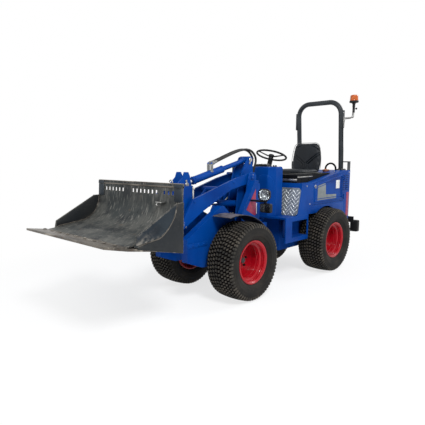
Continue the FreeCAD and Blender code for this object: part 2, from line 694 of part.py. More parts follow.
def build_boom():
    px, pz = boom_pivot
    tx, tz = boom_tip
    outline = [(px - 20, pz - 51), (px - 52, pz - 20), (px - 52, pz + 20), (px - 20, pz + 51), (553, 1111),
               (1151, 944), (1226, 833), (1263, 774), (tx + 32, tz + 30), (tx + tip_radius, tz),
               (tx + 20, tz - 40), (tx - 20, tz - 40), (tx - 38, tz - 25), (1007, 833), (612, 1006)]
    arm = prism_xz(outline, arm_outer - arm_plate, arm_outer)
    tube = cross_pin(torque_tube, torque_tube_radius, -arm_outer + 1, arm_outer - 1)
    ex, ez = lift_eye
    lug_outline = [(torque_tube[0] - 20, torque_tube[1] - 20), (torque_tube[0] + 15, torque_tube[1] + 22),
                   (ex + 20, ez + 30), (ex + 36, ez), (ex + 20, ez - 28), (ex - 20, ez - 28)]
    lugs = pair(prism_xz(lug_outline, boom_lug_inner, boom_lug_inner + boom_lug_plate))
    bores = [cross_pin(boom_pivot, pin_radius + pin_gap, -200, 200),
             cross_pin(boom_tip, pin_radius + pin_gap, -200, 200)]
    keep("boom_arms", [cut(fuse(pair(arm) + [tube] + lugs), bores)])


def cylinder_pair(base, eye, barrel_end, bore_depth, spare, half_gap, tail=None,
                  outside=barrel_radius, inside=rod_radius):
    """Barrel on its base pin and rod with its eye, along one line in the XZ plane.

    spare is how far the rod can still go in; tail is the length and radius of a thinner rear tube;
    outside and inside are the barrel's and the rod's radius.
    """
    barrel_start = 40.0
    start = (base[0], 0, base[1])
    first = along(base, eye, barrel_start)
    gland = along(base, eye, barrel_end)
    base_eye = cross_pin(base, eye_radius + 6, -half_gap, half_gap)
    pieces = [base_eye, rod((first[0], 0, first[1]), (gland[0], 0, gland[1]), outside)]
    pieces.append(rod(start, (first[0], 0, first[1]), eye_radius - 4))
    if tail:
        thin_end = along(base, eye, tail[0])
        pieces[1] = rod((thin_end[0], 0, thin_end[1]), (gland[0], 0, gland[1]), outside)
        pieces.append(rod(start, (thin_end[0], 0, thin_end[1]), tail[1]))
    barrel = fuse(pieces)
    stroke_start = along(base, eye, barrel_end - bore_depth)
    over = along(base, eye, barrel_end + 5)
    bore = rod((stroke_start[0], 0, stroke_start[1]), (over[0], 0, over[1]), inside + pin_gap)
    barrel = cut(barrel, [bore, cross_pin(base, pin_radius + pin_gap, -half_gap - 1, half_gap + 1)])
    piston = along(base, eye, barrel_end - bore_depth + spare)
    piston_rod = rod((piston[0], 0, piston[1]), (eye[0], 0, eye[1]), inside)
    rod_eye = cross_pin(eye, eye_radius, -eye_half_width, eye_half_width)
    return barrel, fuse([piston_rod, rod_eye])


def elbow(side):
    """Hose fitting that stands on the tilt barrel and turns back towards the tower."""
    (x, z), (next_x, next_z) = hose_route[0], hose_route[1]
    ux, uz = direction((next_x, next_z), (x, z))
    corner = (x + 20 * ux, side * hose_offset, z + 20 * uz)
    return [rod((corner[0], corner[1], corner[2] - 95), corner, elbow_radius),
            Part.makeSphere(elbow_radius, V(*corner)),
            rod(corner, (x, side * hose_offset, z), elbow_radius)]


def build_hoses():
    """Straight runs joined by tangent arcs, each as large as its two runs allow."""
    points = [V(x, hose_offset, z) for x, z in hose_route]
    edges = []
    start = points[0]
    for before, corner, after in zip(points, points[1:], points[2:]):
        back = before - corner
        ahead = after - corner
        reach = 0.45 * min(back.Length, ahead.Length)
        half_turn = (math.pi - back.getAngle(ahead)) / 2
        radius = reach / math.tan(half_turn)
        back.normalize()
        ahead.normalize()
        inward = back + ahead
        inward.normalize()
        middle = corner + inward * (radius / math.cos(half_turn) - radius)
        edges.append(Part.LineSegment(start, corner + back * reach).toShape())
        edges.append(Part.Arc(corner + back * reach, middle, corner + ahead * reach).toShape())
        start = corner + ahead * reach
        print("hose bend radius %.0f mm, turn %.0f degrees" % (radius, math.degrees(2 * half_turn)))
    edges.append(Part.LineSegment(start, points[-1]).toShape())
    path = Part.Wire(edges)
    end = Part.Wire([Part.makeCircle(hose_radius, points[0], points[1] - points[0])])
    hose = path.makePipeShell([end], True, True)
    print("hose length %.0f mm, volume off by %.4f" % (
        path.Length, hose.Volume / (math.pi * hose_radius ** 2 * path.Length) - 1))
    keep("tilt_hoses", pair(hose))


def build_cylinders():
    half_gap = tower_inner - 2
    lift = cylinder_pair(lift_base, lift_eye, 500.0, 420.0, 145.0, half_gap)
    tilt = cylinder_pair(tilt_base, tilt_eye, 812.0, 450.0, 95.0, half_gap, tail=(380.0, 24.0))
    tilt_bore = rod((tilt_base[0], 0, tilt_base[1]), (tilt_eye[0], 0, tilt_eye[1]), rod_radius + pin_gap)
    fittings = [piece.cut(tilt_bore) for piece in elbow(1) + elbow(-1)]
    tilt = (fuse([tilt[0]] + fittings), tilt[1])
    # the steering cylinder lies flat: it is drawn upright and laid over
    base = (steer_base[0], -steer_base[1])
    eye = (steer_eye[0], -steer_eye[1])
    steering = cylinder_pair(base, eye, 340.0, 250.0, 80.0, eye_half_width, outside=28.0, inside=14.0)
    for piece in steering:
        piece.rotate(V(0, 0, 0), V(1, 0, 0), 90)
        piece.translate(V(0, 0, steer_height))
    for name, (barrel, piston) in (("lift", lift), ("tilt", tilt), ("steering", steering)):
        keep("%s_cylinder_barrel" % name, [barrel])
        keep("%s_cylinder_rod" % name, [piston])


def build_coupler():
    tx, tz = boom_tip
    cx, cz = tilt_eye
    outline = [(cx - 54, cz - 9), (1290, cz - 9), (1420, 1000), (1600, 880), (1642, 880), (1642, 640), (1560, 640),
               (tx + 10, tz - 45), (tx - 35, tz - 28), (tx - 45, tz + 15), (1086, 925)]
    inner = coupler_inner
    outer = coupler_inner + coupler_plate
    plates = pair(prism_xz(outline, inner, outer))
    ear_outline = [(cx - 22, cz + 115), (cx + 26, cz + 117), (cx + 46, cz + 70), (cx + 112, cz + 17),
                   (cx + 112, cz - 75), (cx - 40, cz - 75), (cx - 65, cz - 13), (cx - 52, cz + 24),
                   (cx - 41, cz + 79)]
    ear_inner = barrel_radius + 6
    plates += pair(prism_xz(ear_outline, ear_inner, ear_inner + 12))
    plates += pair(block(cx - 20, cx + 100, ear_inner + 11, inner + 1, cz - 70, cz - 15))
    frame_plate = block(1642, 1660, -120, 120, 640, 880)
    spacer = cross_pin((1500, 760), 30, -inner - 1, inner + 1)
    tip_pin = cross_pin(boom_tip, pin_radius, -arm_outer - 10, arm_outer + 10)
    keep("coupler", [fuse(plates + [frame_plate, spacer, tip_pin])])


# ---- bucket ----------------------------------------------------------------

def shell_section():
    """Closed XZ outline of the bucket's curved plate, as a face."""
    start, middle, end = shell_arc_start, shell_arc_middle, shell_arc_end
    top, lip = bucket_back_top, bucket_lip
    ux, uz = direction(top, start)
    back_normal = (uz, -ux)
    fx, fz = direction(end, lip)
    floor_normal = (fz, -fx)
    t = bucket_plate
    mid_normal = (back_normal[0] + floor_normal[0], back_normal[1] + floor_normal[1])
    size = math.hypot(*mid_normal)
    mid_normal = (mid_normal[0] / size, mid_normal[1] / size)

    def point(p, normal, offset):
        return V(p[0] + normal[0] * offset, 0, p[1] + normal[1] * offset)

    i = [point(top, back_normal, 0), point(start, back_normal, 0), point(middle, mid_normal, 0),
         point(end, floor_normal, 0), point(lip, floor_normal, 0)]
    o = [point(top, back_normal, t), point(start, back_normal, t), point(middle, mid_normal, t),
         point(end, floor_normal, t), point(lip, floor_normal, t)]
    curves = [Part.LineSegment(i[0], i[1]), Part.Arc(i[1], i[2], i[3]), Part.LineSegment(i[3], i[4]),
              Part.LineSegment(i[4], o[4]), Part.LineSegment(o[4], o[3]), Part.Arc(o[3], o[2], o[1]),
              Part.LineSegment(o[1], o[0]), Part.LineSegment(o[0], i[0])]
    return Part.Face(Part.Wire([curve.toShape() for curve in curves]))


def build_bucket():
    inside = bucket_half - bucket_side
    shell = shell_section()
    shell.translate(V(0, -inside, 0))
    shell = shell.extrude(V(0, 2 * inside, 0))
    hx, hz = bucket_heel
    slope = (bucket_side_front[1] - hz) / (bucket_side_front[0] - hx)

    def underside(x):
        return hz + slope * (x - hx)
    bed = edge_thickness + seat_gap
    side = [bucket_heel, (bucket_back_top[0], 991), (1739, 991), (2129, 793), (2140, 743),
            (bucket_side_front[0], underside(bucket_side_front[0]) + bed),
            (edge_rear, underside(edge_rear) + bed), (edge_rear, underside(edge_rear))]
    sides = pair(prism_xz(side, inside, bucket_half))
    rail = block(bucket_back_top[0] - 14, bucket_back_top[0] + 6, -inside, inside,
                 bucket_back_top[1] - 32, bucket_back_top[1])
    slots = []
    spread = bucket_half / 565.0
    for start, count in slot_groups:
        for index in range(count):
            y = (start + slot_pitch * index) * spread
            slots.append(block(1640, 1760, y - slot_width / 2, y + slot_width / 2,
                               slot_bottom, slot_bottom + slot_height))
    hooks = []
    for y in (90.0, -102.0):
        hooks.append(prism_xz([(1660, 650), (1660, 900), (1684, 935), (1705, 880), (1745, 826),
                               (1801, 785), (1850, 767), (1900, 760), (1880, 700)], y, y + 12))
    keep("bucket_shell", [fuse([cut(shell.fuse(rail), slots)] + sides + hooks)])
    lip_x, lip_z = bucket_lip
    edge = [(edge_rear, underside(edge_rear)), (lip_x, lip_z - bucket_plate - seat_gap - edge_thickness),
            (edge_tip[0], edge_tip[1] - edge_thickness + 4), edge_tip, (lip_x + 2, lip_z),
            (lip_x + 1, lip_z - bucket_plate - seat_gap), (edge_rear, underside(edge_rear) + edge_thickness)]
    keep("cutting_edge", [prism_xz(edge, -bucket_half, bucket_half)])


build_wheels()
build_rear_frame()
build_platform()
build_kick_plates()
build_body_shell()
build_console()
build_seat()
build_rops()
build_rear_fittings()
build_front_frame()
build_tower()
build_fenders()
build_headlights()
build_boom()
build_cylinders()
build_hoses()
build_coupler()
build_bucket()

# ---- export in the shared frame --------------------------------------------

boxes = [shape.BoundBox for shape in nodes.values()]
middle_x = (min(box.XMin for box in boxes) + max(box.XMax for box in boxes)) / 2.0
os.makedirs("parts", exist_ok=True)
for name, shape in nodes.items():
    shape.translate(V(-middle_x, 0, 0))
    shape.exportStep("parts/%s.step" % name)
print("origin lies %.3f mm ahead of the articulation pivot" % middle_x)
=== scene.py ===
"""Looks of the compact articulated wheel loader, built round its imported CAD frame.

The row frame is in metres: X forward, Y to the machine's left, Z up. Pieces are drawn in millimetres
from the ground under the articulation pivot, and Drawing.show() moves them into the row frame.
"""
import math
import random
from types import SimpleNamespace

import bmesh
import bpy
from mathutils import Matrix, Vector


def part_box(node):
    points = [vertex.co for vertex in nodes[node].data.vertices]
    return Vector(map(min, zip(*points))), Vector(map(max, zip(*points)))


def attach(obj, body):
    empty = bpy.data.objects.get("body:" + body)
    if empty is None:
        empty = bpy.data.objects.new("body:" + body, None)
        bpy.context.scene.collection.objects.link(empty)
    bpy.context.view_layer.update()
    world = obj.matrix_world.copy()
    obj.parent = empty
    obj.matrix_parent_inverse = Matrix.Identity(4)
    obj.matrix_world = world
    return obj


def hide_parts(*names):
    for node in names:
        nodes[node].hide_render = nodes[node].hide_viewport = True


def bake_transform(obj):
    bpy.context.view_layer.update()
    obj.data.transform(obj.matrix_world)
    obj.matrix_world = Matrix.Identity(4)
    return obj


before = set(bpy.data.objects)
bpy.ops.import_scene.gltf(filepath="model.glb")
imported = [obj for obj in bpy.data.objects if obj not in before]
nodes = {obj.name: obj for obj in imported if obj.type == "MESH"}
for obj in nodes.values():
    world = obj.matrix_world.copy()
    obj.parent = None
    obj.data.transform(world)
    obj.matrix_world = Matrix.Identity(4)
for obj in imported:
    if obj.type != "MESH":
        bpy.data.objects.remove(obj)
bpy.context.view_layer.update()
dice = random.Random(7)

X, Y, Z = Vector((1, 0, 0)), Vector((0, 1, 0)), Vector((0, 0, 1))
wheel_boxes = [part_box(end + "_left_tyre") for end in ("front", "rear")]
PIVOT_X = sum(low.x + high.x for low, high in wheel_boxes) / 4
MILLIMETRES = Matrix.Translation((PIVOT_X, 0, 0)) @ Matrix.Scale(0.001, 4)

# faces that pieces stand on, in millimetres from the middle plane
HOOD_SIDE = 400
DECK_SIDE = 330
GUSSET_SIDE = 215
COUPLER_SIDE = 80
BOOM_SIDE = 130
HOSE_OFFSET = 22
# pins of the cylinders and the boom, as (x, z)
BOOM_PIN = (315, 1113)
BUCKET_PIN = (1275, 730)
LIFT_PINS = ((183, 825), (895, 884))
TILT_PINS = ((238, 1290), (1150, 1075))
HOSE_ROUTE = [(762, 1266), (633, 1306), (481, 1354), (355, 1388), (250, 1400), (160, 1384), (92, 1325),
              (84, 1262), (124, 1195), (130, 1110), (130, 1012)]


def circle(count, first=0.0):
    """Angles spread evenly round a circle."""
    return [2 * math.pi * k / count + first for k in range(count)]


def half_ring(x, y, radius):
    """Points of half a circle, as pairs."""
    return [(x + radius * math.cos(a), y + radius * math.sin(a)) for a in (math.pi * k / 12 for k in range(25))]


def new_object(name, data):
    made = bpy.data.objects.new(name, data)
    bpy.context.scene.collection.objects.link(made)
    return made


# ---- camera, light and floor -----------------------------------------------

def make_camera():
    data = bpy.data.cameras.new("camera")
    data.sensor_width = 36.0
    data.lens = 37.165
    data.shift_x = 0.06337
    data.shift_y = 0.02647
    data.clip_end = 60.0
    camera = new_object("camera", data)
    right = Vector((-0.719232, 0.694714, -0.008839))
    up = Vector((-0.111001, -0.102342, 0.988537))
    turn = Matrix((right, up, right.cross(up))).transposed().to_4x4()
    camera.matrix_world = Matrix.Translation(Vector((3.4306, 2.9123, 1.3268))) @ turn
    bpy.context.scene.camera = camera


def make_lamp(name, place, aim, size, watts):
    data = bpy.data.lights.new(name, "AREA")
    data.shape = "DISK"
    data.size = size
    data.energy = watts
    light = new_object(name, data)
    light.location = place
    light.rotation_euler = (Vector(aim) - Vector(place)).to_track_quat("-Z", "Y").to_euler()


def add_node(tree, kind, operation=None, **values):
    """A shader node with its operation and its sockets' values set."""
    made = tree.nodes.new("ShaderNode" + kind)
    if operation:
        made.operation = operation
    for name, value in values.items():
        made.inputs[name.replace("_", " ")].default_value = value
    return made


def seen_directly(tree):
    """1 for what the camera sees straight on, mirrored or through glass, and 0 for plain light."""
    path = add_node(tree, "LightPath")
    straight, every = (add_node(tree, "Math", "MAXIMUM") for _ in range(2))
    tree.links.new(path.outputs["Is Camera Ray"], straight.inputs[0])
    tree.links.new(path.outputs["Is Glossy Ray"], straight.inputs[1])
    tree.links.new(straight.outputs[0], every.inputs[0])
    tree.links.new(path.outputs["Is Transmission Ray"], every.inputs[1])
    return every.outputs[0]


def mix_into(tree, share, first, second, kind):
    """Ends a tree in a mix of two shaders."""
    mix, out = add_node(tree, "MixShader"), add_node(tree, kind)
    for socket, source in zip(mix.inputs, (share, first.outputs[0], second.outputs[0])):
        tree.links.new(source, socket)
    tree.links.new(mix.outputs[0], out.inputs["Surface"])


def make_studio():
    scene = bpy.context.scene
    scene.view_settings.view_transform = "Standard"
    make_lamp("key", (3.0, 4.5, 6.0), (0, 0, 0.6), 2.2, 430)
    make_lamp("fill", (6.0, -1.0, 2.6), (0, 0, 0.7), 3.0, 90)
    make_lamp("rim", (-5.0, 2.5, 4.5), (0, 0, 0.9), 3.0, 130)
    scene.world = bpy.data.worlds.new("studio")
    scene.world.use_nodes = True
    tree = scene.world.node_tree
    tree.nodes.clear()
    soft = add_node(tree, "Background", Color=(0.86, 0.91, 1.0, 1.0), Strength=0.42)
    white = add_node(tree, "Background", Color=(1.0, 1.0, 1.0, 1.0), Strength=1.0)
    mix_into(tree, seen_directly(tree), soft, white, "OutputWorld")


def make_floor():
    """White floor that keeps the shadow under the machine and meets the white world further out."""
    reach = 30.0
    mesh = bpy.data.meshes.new("floor")
    mesh.from_pydata([(-reach, -reach, 0), (reach, -reach, 0), (reach, reach, 0), (-reach, reach, 0)], [],
                     [(0, 1, 2, 3)])
    floor = new_object("floor", mesh)
    material = bpy.data.materials.new("floor")
    material.use_nodes = True
    tree = material.node_tree
    tree.nodes.clear()
    pale = add_node(tree, "BsdfDiffuse", Color=(0.97, 0.97, 0.97, 1))
    white = add_node(tree, "Emission", Color=(1.0, 1.0, 1.0, 1.0), Strength=1.0)
    length = add_node(tree, "VectorMath", "LENGTH")
    fade = add_node(tree, "MapRange", From_Min=1.2, From_Max=3.2, To_Min=0.72)
    share = add_node(tree, "Math", "MULTIPLY")
    tree.links.new(add_node(tree, "TexCoord").outputs["Object"], length.inputs[0])
    tree.links.new(length.outputs["Value"], fade.inputs["Value"])
    tree.links.new(fade.outputs["Result"], share.inputs[0])
    tree.links.new(seen_directly(tree), share.inputs[1])
    mix_into(tree, share.outputs[0], pale, white, "OutputMaterial")
    mesh.materials.append(material)


# ---- materials -------------------------------------------------------------

def srgb(colour):
    """Linear colour of a display colour given in 0 to 255."""
    values = [value / 255.0 for value in colour]
    return tuple(v / 12.92 if v <= 0.04045 else ((v + 0.055) / 1.055) ** 2.4 for v in values) + (1.0,)


class Surface:
    """A Principled material with layers of noise, bump, wear and painted highlight added one at a time."""

    def __init__(self, name, colour, roughness, metallic=0.0, coat=0.0, rounding=0.0, shine=0.3, clear=0.0,
                 bends=1.5):
        self.material = bpy.data.materials.new(name)
        self.material.use_nodes = True
        self.tree = self.material.node_tree
        self.shader = self.tree.nodes["Principled BSDF"]
        self.colour = srgb(colour)
        for socket, value in (("Base Color", self.colour), ("Roughness", roughness), ("Metallic", metallic),
                              ("Coat Weight", coat), ("Coat Roughness", 0.12), ("Specular IOR Level", shine),
                              ("Transmission Weight", clear), ("IOR", bends)):
            self.shader.inputs[socket].default_value = value
        self.place = self.add("TexCoord").outputs["Object"]
        self.normal = None
        if rounding:
            self.normal = self.rounded(rounding)
            self.link(self.normal, self.shader.inputs["Normal"])

    def add(self, kind, operation=None, **values):
        return add_node(self.tree, kind, operation, **values)

    def link(self, source, target):
        """Feeds a socket from another one, or sets it to a constant."""
        if isinstance(source, bpy.types.NodeSocket):
            self.tree.links.new(source, target)
        else:
            target.default_value = source

    def rounded(self, radius):
        node = self.add("Bevel", Radius=radius)
        node.samples = 4
        return node.outputs["Normal"]

    def noise(self, scale, detail=4.0, stretch=(1, 1, 1)):
        mapping = self.add("Mapping", Scale=stretch)
        self.link(self.place, mapping.inputs["Vector"])
        node = self.add("TexNoise", Scale=scale, Detail=detail, Roughness=0.55)
        self.link(mapping.outputs["Vector"], node.inputs["Vector"])
        return node.outputs["Fac"]

    def spread(self, value, low, high):
        node = self.add("MapRange", From_Min=low, From_Max=high)
        node.interpolation_type = "SMOOTHSTEP"
        self.link(value, node.inputs["Value"])
        return node.outputs["Result"]

    def maths(self, operation, first, second, kind="Math", output=0):
        node = self.add(kind, operation)
        self.link(first, node.inputs[0])
        self.link(second, node.inputs[1])
        return node.outputs[output]

    def height_of(self, source):
        split = self.add("SeparateXYZ")
        self.link(source, split.inputs[0])
        return split.outputs["Z"]

    def layer(self, colour, *masks):
        """Mixes a colour over what is there, by the product of the masks."""
        mask = masks[0]
        for other in masks[1:]:
            mask = self.maths("MULTIPLY", mask, other)
        node = self.add("Mix")
        node.data_type = "RGBA"
        self.link(self.colour, node.inputs["A"])
        node.inputs["B"].default_value = colour
        self.link(mask, node.inputs["Factor"])
        self.colour = node.outputs["Result"]
        self.link(self.colour, self.shader.inputs["Base Color"])
        return self

    def patches(self, colour, scale, amount, low=0.42, high=0.68, stretch=(1, 1, 1)):
        return self.layer(srgb(colour), self.spread(self.noise(scale, stretch=stretch), low, high), amount)

    def dust(self, top, amount):
        """Dust that thickens towards the ground, below a height."""
        low_down = self.spread(self.height_of(self.place), top, 0.1)
        return self.layer(srgb((120, 108, 92)), low_down, self.spread(self.noise(9.0), 0.3, 0.75), amount)

    def edges(self, colour, radius, amount):
        """Lighter colour at the edges, where the rounded normal leaves the true one: wear on the bucket's steel and
        the fender, and a painted highlight along the edges of the blue paint.
        """
        true = self.add("NewGeometry").outputs["True Normal"]
        along = self.maths("DOT_PRODUCT", self.rounded(radius), true, "VectorMath", "Value")
        edge_wear_and_highlight = self.spread(self.maths("SUBTRACT", 1.0, along), 0.01, 0.12)
        return self.layer(srgb(colour), edge_wear_and_highlight, self.spread(self.noise(38.0), 0.35, 0.6), amount)

    def painted_top_highlight(self, colour, amount):
        """Painted highlight: a lighter colour on what faces up."""
        facing = self.spread(self.height_of(self.add("NewGeometry").outputs["Normal"]), 0.45, 0.95)
        return self.layer(srgb(colour), facing, self.spread(self.noise(12.0), 0.2, 0.6), amount)

    def grain(self, scale, height, detail=3.0, stretch=(1, 1, 1)):
        bump = self.add("Bump", Strength=1.0, Distance=height)
        self.link(self.noise(scale, detail, stretch), bump.inputs["Height"])
        if self.normal:
            self.link(self.normal, bump.inputs["Normal"])
        self.normal = bump.outputs["Normal"]
        self.link(self.normal, self.shader.inputs["Normal"])
        return self

    def sheen_spots(self, low, high, scale=14.0):
        """Roughness that varies a little over the surface."""
        node = self.add("MapRange", To_Min=low, To_Max=high)
        self.link(self.noise(scale), node.inputs["Value"])
        self.link(node.outputs["Result"], self.shader.inputs["Roughness"])
        return self


def plain(name, colour, roughness, metallic=0.0):
    """One colour with darker patches and a fine grain."""
    thing = Surface(name, colour, roughness, metallic)
    darker = tuple(value * 0.7 for value in thing.colour[:3]) + (1.0,)
    return thing.layer(darker, thing.spread(thing.noise(18.0), 0.42, 0.68), 0.6).grain(300.0, 0.0002)


def lens(name, colour, roughness):
    return Surface(name, colour, roughness, clear=0.92, bends=1.45).grain(160.0, 0.0002)


def make_materials():
    surfaces = dict(
        # blue paint; the lighter blue laid on by edges() is a painted highlight along the edges
        blue=Surface("blue_paint", (0, 62, 140), 0.34, rounding=0.003, shine=0.08)
        .patches((0, 42, 112), 2.5, 0.7).patches((20, 84, 160), 40.0, 0.16, 0.62, 0.8)
        .dust(0.75, 0.05).edges((70, 122, 190), 0.0025, 0.35).grain(260.0, 0.00025).sheen_spots(0.30, 0.48),
        red_paint=Surface("rim_red", (164, 4, 24), 0.3, coat=0.25, rounding=0.002, shine=0.2)
        .patches((122, 0, 14), 6.0, 0.6).dust(0.5, 0.05).grain(300.0, 0.0002),
        rubber=Surface("tyre_rubber", (28, 27, 26), 0.75, shine=0.2)
        .patches((46, 43, 39), 7.0, 0.75).patches((70, 65, 57), 26.0, 0.35, 0.58, 0.78)
        .grain(420.0, 0.0004).sheen_spots(0.7, 0.95),
        tread=Surface("tread_rubber", (50, 48, 44), 0.8, shine=0.2)
        .patches((82, 76, 67), 9.0, 0.75, 0.4, 0.6).grain(420.0, 0.0004),
        # near-black rubber between the tread blocks: painted shade in the grooves
        groove=Surface("tyre_gap_painted_shade", (7, 6, 6), 0.95, shine=0.05)
        .patches((20, 18, 16), 12.0, 0.5).grain(300.0, 0.0004),
        black=Surface("black_paint", (8, 10, 14), 0.55, rounding=0.002, shine=0.1)
        .patches((18, 20, 24), 8.0, 0.6).dust(0.8, 0.1).grain(240.0, 0.0003),
        charcoal=Surface("charcoal_paint", (32, 37, 41), 0.45, coat=0.1, rounding=0.002, shine=0.25)
        .patches((54, 58, 62), 7.0, 0.5).grain(500.0, 0.00025),
        plastic=Surface("black_plastic", (15, 16, 18), 0.5, rounding=0.002, shine=0.25)
        .patches((30, 30, 32), 10.0, 0.5).grain(700.0, 0.0002).sheen_spots(0.42, 0.65),
        vinyl=Surface("seat_vinyl", (13, 18, 24), 0.42, shine=0.25)
        .patches((24, 30, 37), 9.0, 0.5).grain(900.0, 0.0004, 2.0).sheen_spots(0.4, 0.62, 30.0),
        bucket=Surface("worn_steel", (48, 52, 52), 0.5, metallic=0.2, rounding=0.002, shine=0.25)
        .patches((88, 88, 84), 2.6, 0.75, 0.42, 0.6).patches((24, 28, 32), 4.6, 0.8, 0.52, 0.68)
        .patches((128, 126, 120), 26.0, 0.6, 0.54, 0.68, stretch=(1, 2.6, 0.4))
        .patches((20, 22, 25), 34.0, 0.6, 0.55, 0.68, stretch=(1, 2.2, 0.5))
        .patches((98, 76, 56), 11.0, 0.35, 0.62, 0.78).edges((168, 158, 144), 0.004, 0.7)
        .grain(60.0, 0.0012, 6.0, stretch=(1, 2.5, 0.5)).sheen_spots(0.4, 0.75),
        edge=Surface("edge_steel", (112, 106, 98), 0.42, metallic=0.6, rounding=0.002)
        .patches((64, 60, 56), 9.0, 0.8, 0.42, 0.66, stretch=(1, 0.25, 1))
        .patches((176, 168, 156), 24.0, 0.7, 0.55, 0.72, stretch=(1, 0.15, 1))
        .patches((108, 70, 44), 13.0, 0.5, 0.6, 0.75).grain(90.0, 0.0008, 5.0),
        rod=Surface("chrome_rod", (214, 216, 220), 0.12, metallic=1.0)
        .patches((180, 182, 186), 20.0, 0.4).grain(300.0, 0.00005),
        steel=Surface("bare_steel", (168, 168, 166), 0.34, metallic=0.9, rounding=0.001)
        .patches((112, 110, 106), 22.0, 0.6).grain(400.0, 0.0002),
        checker=Surface("checker_aluminium", (136, 144, 150), 0.42, metallic=0.4, rounding=0.001)
        .patches((100, 108, 118), 14.0, 0.7).patches((150, 154, 156), 30.0, 0.5, 0.55, 0.75)
        .grain(180.0, 0.0003),
        amber=Surface("amber_plastic", (206, 96, 6), 0.18, coat=0.4, clear=0.25)
        .patches((150, 62, 4), 30.0, 0.6),
        red=Surface("red_reflector", (150, 30, 66), 0.35, coat=0.3)
        .patches((112, 24, 60), 60.0, 0.7).grain(900.0, 0.0006, 1.0),
        cheek=Surface("cheek_steel", (30, 38, 46), 0.5, metallic=0.1, shine=0.2)
        .patches((44, 52, 58), 4.0, 0.6).patches((20, 27, 34), 9.0, 0.6, 0.5, 0.7)
        .patches((84, 86, 84), 34.0, 0.4, 0.62, 0.74, stretch=(0.5, 1, 2.5))
        .edges((150, 144, 134), 0.003, 0.8).grain(70.0, 0.0007, 6.0),
        skin=Surface("side_steel", (36, 39, 42), 0.5, metallic=0.15, shine=0.2)
        .patches((47, 48, 47), 5.0, 0.6).patches((27, 30, 33), 8.0, 0.5, 0.5, 0.7)
        .patches((96, 94, 88), 40.0, 0.35, 0.64, 0.74, stretch=(0.5, 1, 2.5))
        .edges((92, 89, 82), 0.002, 0.45).grain(70.0, 0.0007, 6.0),
        hose=Surface("hose_rubber", (20, 20, 21), 0.55).patches((34, 34, 35), 30.0, 0.6)
        .grain(700.0, 0.0003),
        # fender plastic; the pale layer on what faces up is a painted highlight on the fender tops
        fender=Surface("fender_plastic", (24, 25, 27), 0.5).patches((40, 40, 42), 10.0, 0.5)
        .painted_top_highlight((112, 106, 112), 0.75).edges((140, 136, 138), 0.003, 0.6).grain(500.0, 0.0003),
        iron=Surface("engine_iron", (52, 52, 54), 0.7, metallic=0.2, rounding=0.004)
        .patches((34, 33, 32), 8.0, 0.8).patches((90, 80, 66), 16.0, 0.5, 0.58, 0.75)
        .grain(120.0, 0.0012, 5.0),
        stone=plain("panel_stone", (120, 126, 126), 0.5), white=plain("label_white", (228, 228, 224), 0.4),
        # dark: painted shade in the louvre slots and behind the grille
        pale=plain("label_pale", (176, 178, 180), 0.45), dark=plain("opening_painted_shade", (8, 9, 13), 0.85),
        fitting=plain("fitting_steel", (124, 126, 124), 0.38, 0.6),
        mirror=plain("lamp_mirror", (226, 228, 230), 0.12, 1.0), clear=lens("clear_lens", (236, 240, 242), 0.04),
        frosted=lens("frosted_lens", (150, 156, 160), 0.25), smoked=lens("smoked_lens", (66, 70, 76), 0.2),
        copper=plain("cap_copper", (158, 108, 84), 0.4, 0.7), zinc=plain("zinc_plate", (206, 204, 194), 0.42, 0.3),
        # bright: near white, a painted highlight on the kick plates' lozenges
        bright=plain("lozenge_painted_highlight", (232, 236, 238), 0.3, 0.45), cap=plain("hub_grey", (58, 62, 62), 0.5, 0.2),
        # piping: light grey as a painted highlight along the seat's edges
        piping=plain("piping_painted_highlight", (104, 104, 102), 0.5))
    return SimpleNamespace(**{key: surface.material for key, surface in surfaces.items()})


m = make_materials()


# ---- mesh helpers ----------------------------------------------------------

def finish_piece(name, bm, materials, body, slot, crease=35.0, replaces=()):
    """Turns a bmesh into a shown piece that rides on a body."""
    bmesh.ops.recalc_face_normals(bm, faces=bm.faces[:])
    mesh = bpy.data.meshes.new(name)
    bm.to_mesh(mesh)
    bm.free()
    for material in materials:
        mesh.materials.append(material)
    mesh.shade_smooth()
    mesh.set_sharp_from_angle(angle=math.radians(crease))
    piece = new_object(name, mesh)
    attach(piece, body)
    if replaces:
        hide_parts(*replaces)


def oval(centre, across, up, half_width, half_height, power, count):
    """Ring with rounded corners, from an ellipse at power 2 to a box at high powers."""
    centre = Vector(centre)
    ring = []
    for angle in circle(count):
        c, s = math.cos(angle), math.sin(angle)
        ring.append(centre + across * (half_width * math.copysign(abs(c) ** (2 / power), c))
                    + up * (half_height * math.copysign(abs(s) ** (2 / power), s)))
    return ring


def inset(outline, distance):
    """A convex outline in XZ drawn in by a distance."""
    area = sum(x0 * z1 - x1 * z0 for (x0, z0), (x1, z1) in zip(outline, outline[1:] + outline[:1]))
    turn = 1 if area > 0 else -1
    moved = []
    for k, (x, z) in enumerate(outline):
        before, after = Vector(outline[k - 1]), Vector(outline[(k + 1) % len(outline)])
        here = Vector((x, z))
        one, two = (here - before).normalized(), (after - here).normalized()
        first, second = Vector((-one.y, one.x)) * turn, Vector((-two.y, two.x)) * turn
        middle = (first + second).normalized()
        moved.append(tuple(here + middle * (distance / max(0.2, middle.dot(first)))))
    return moved


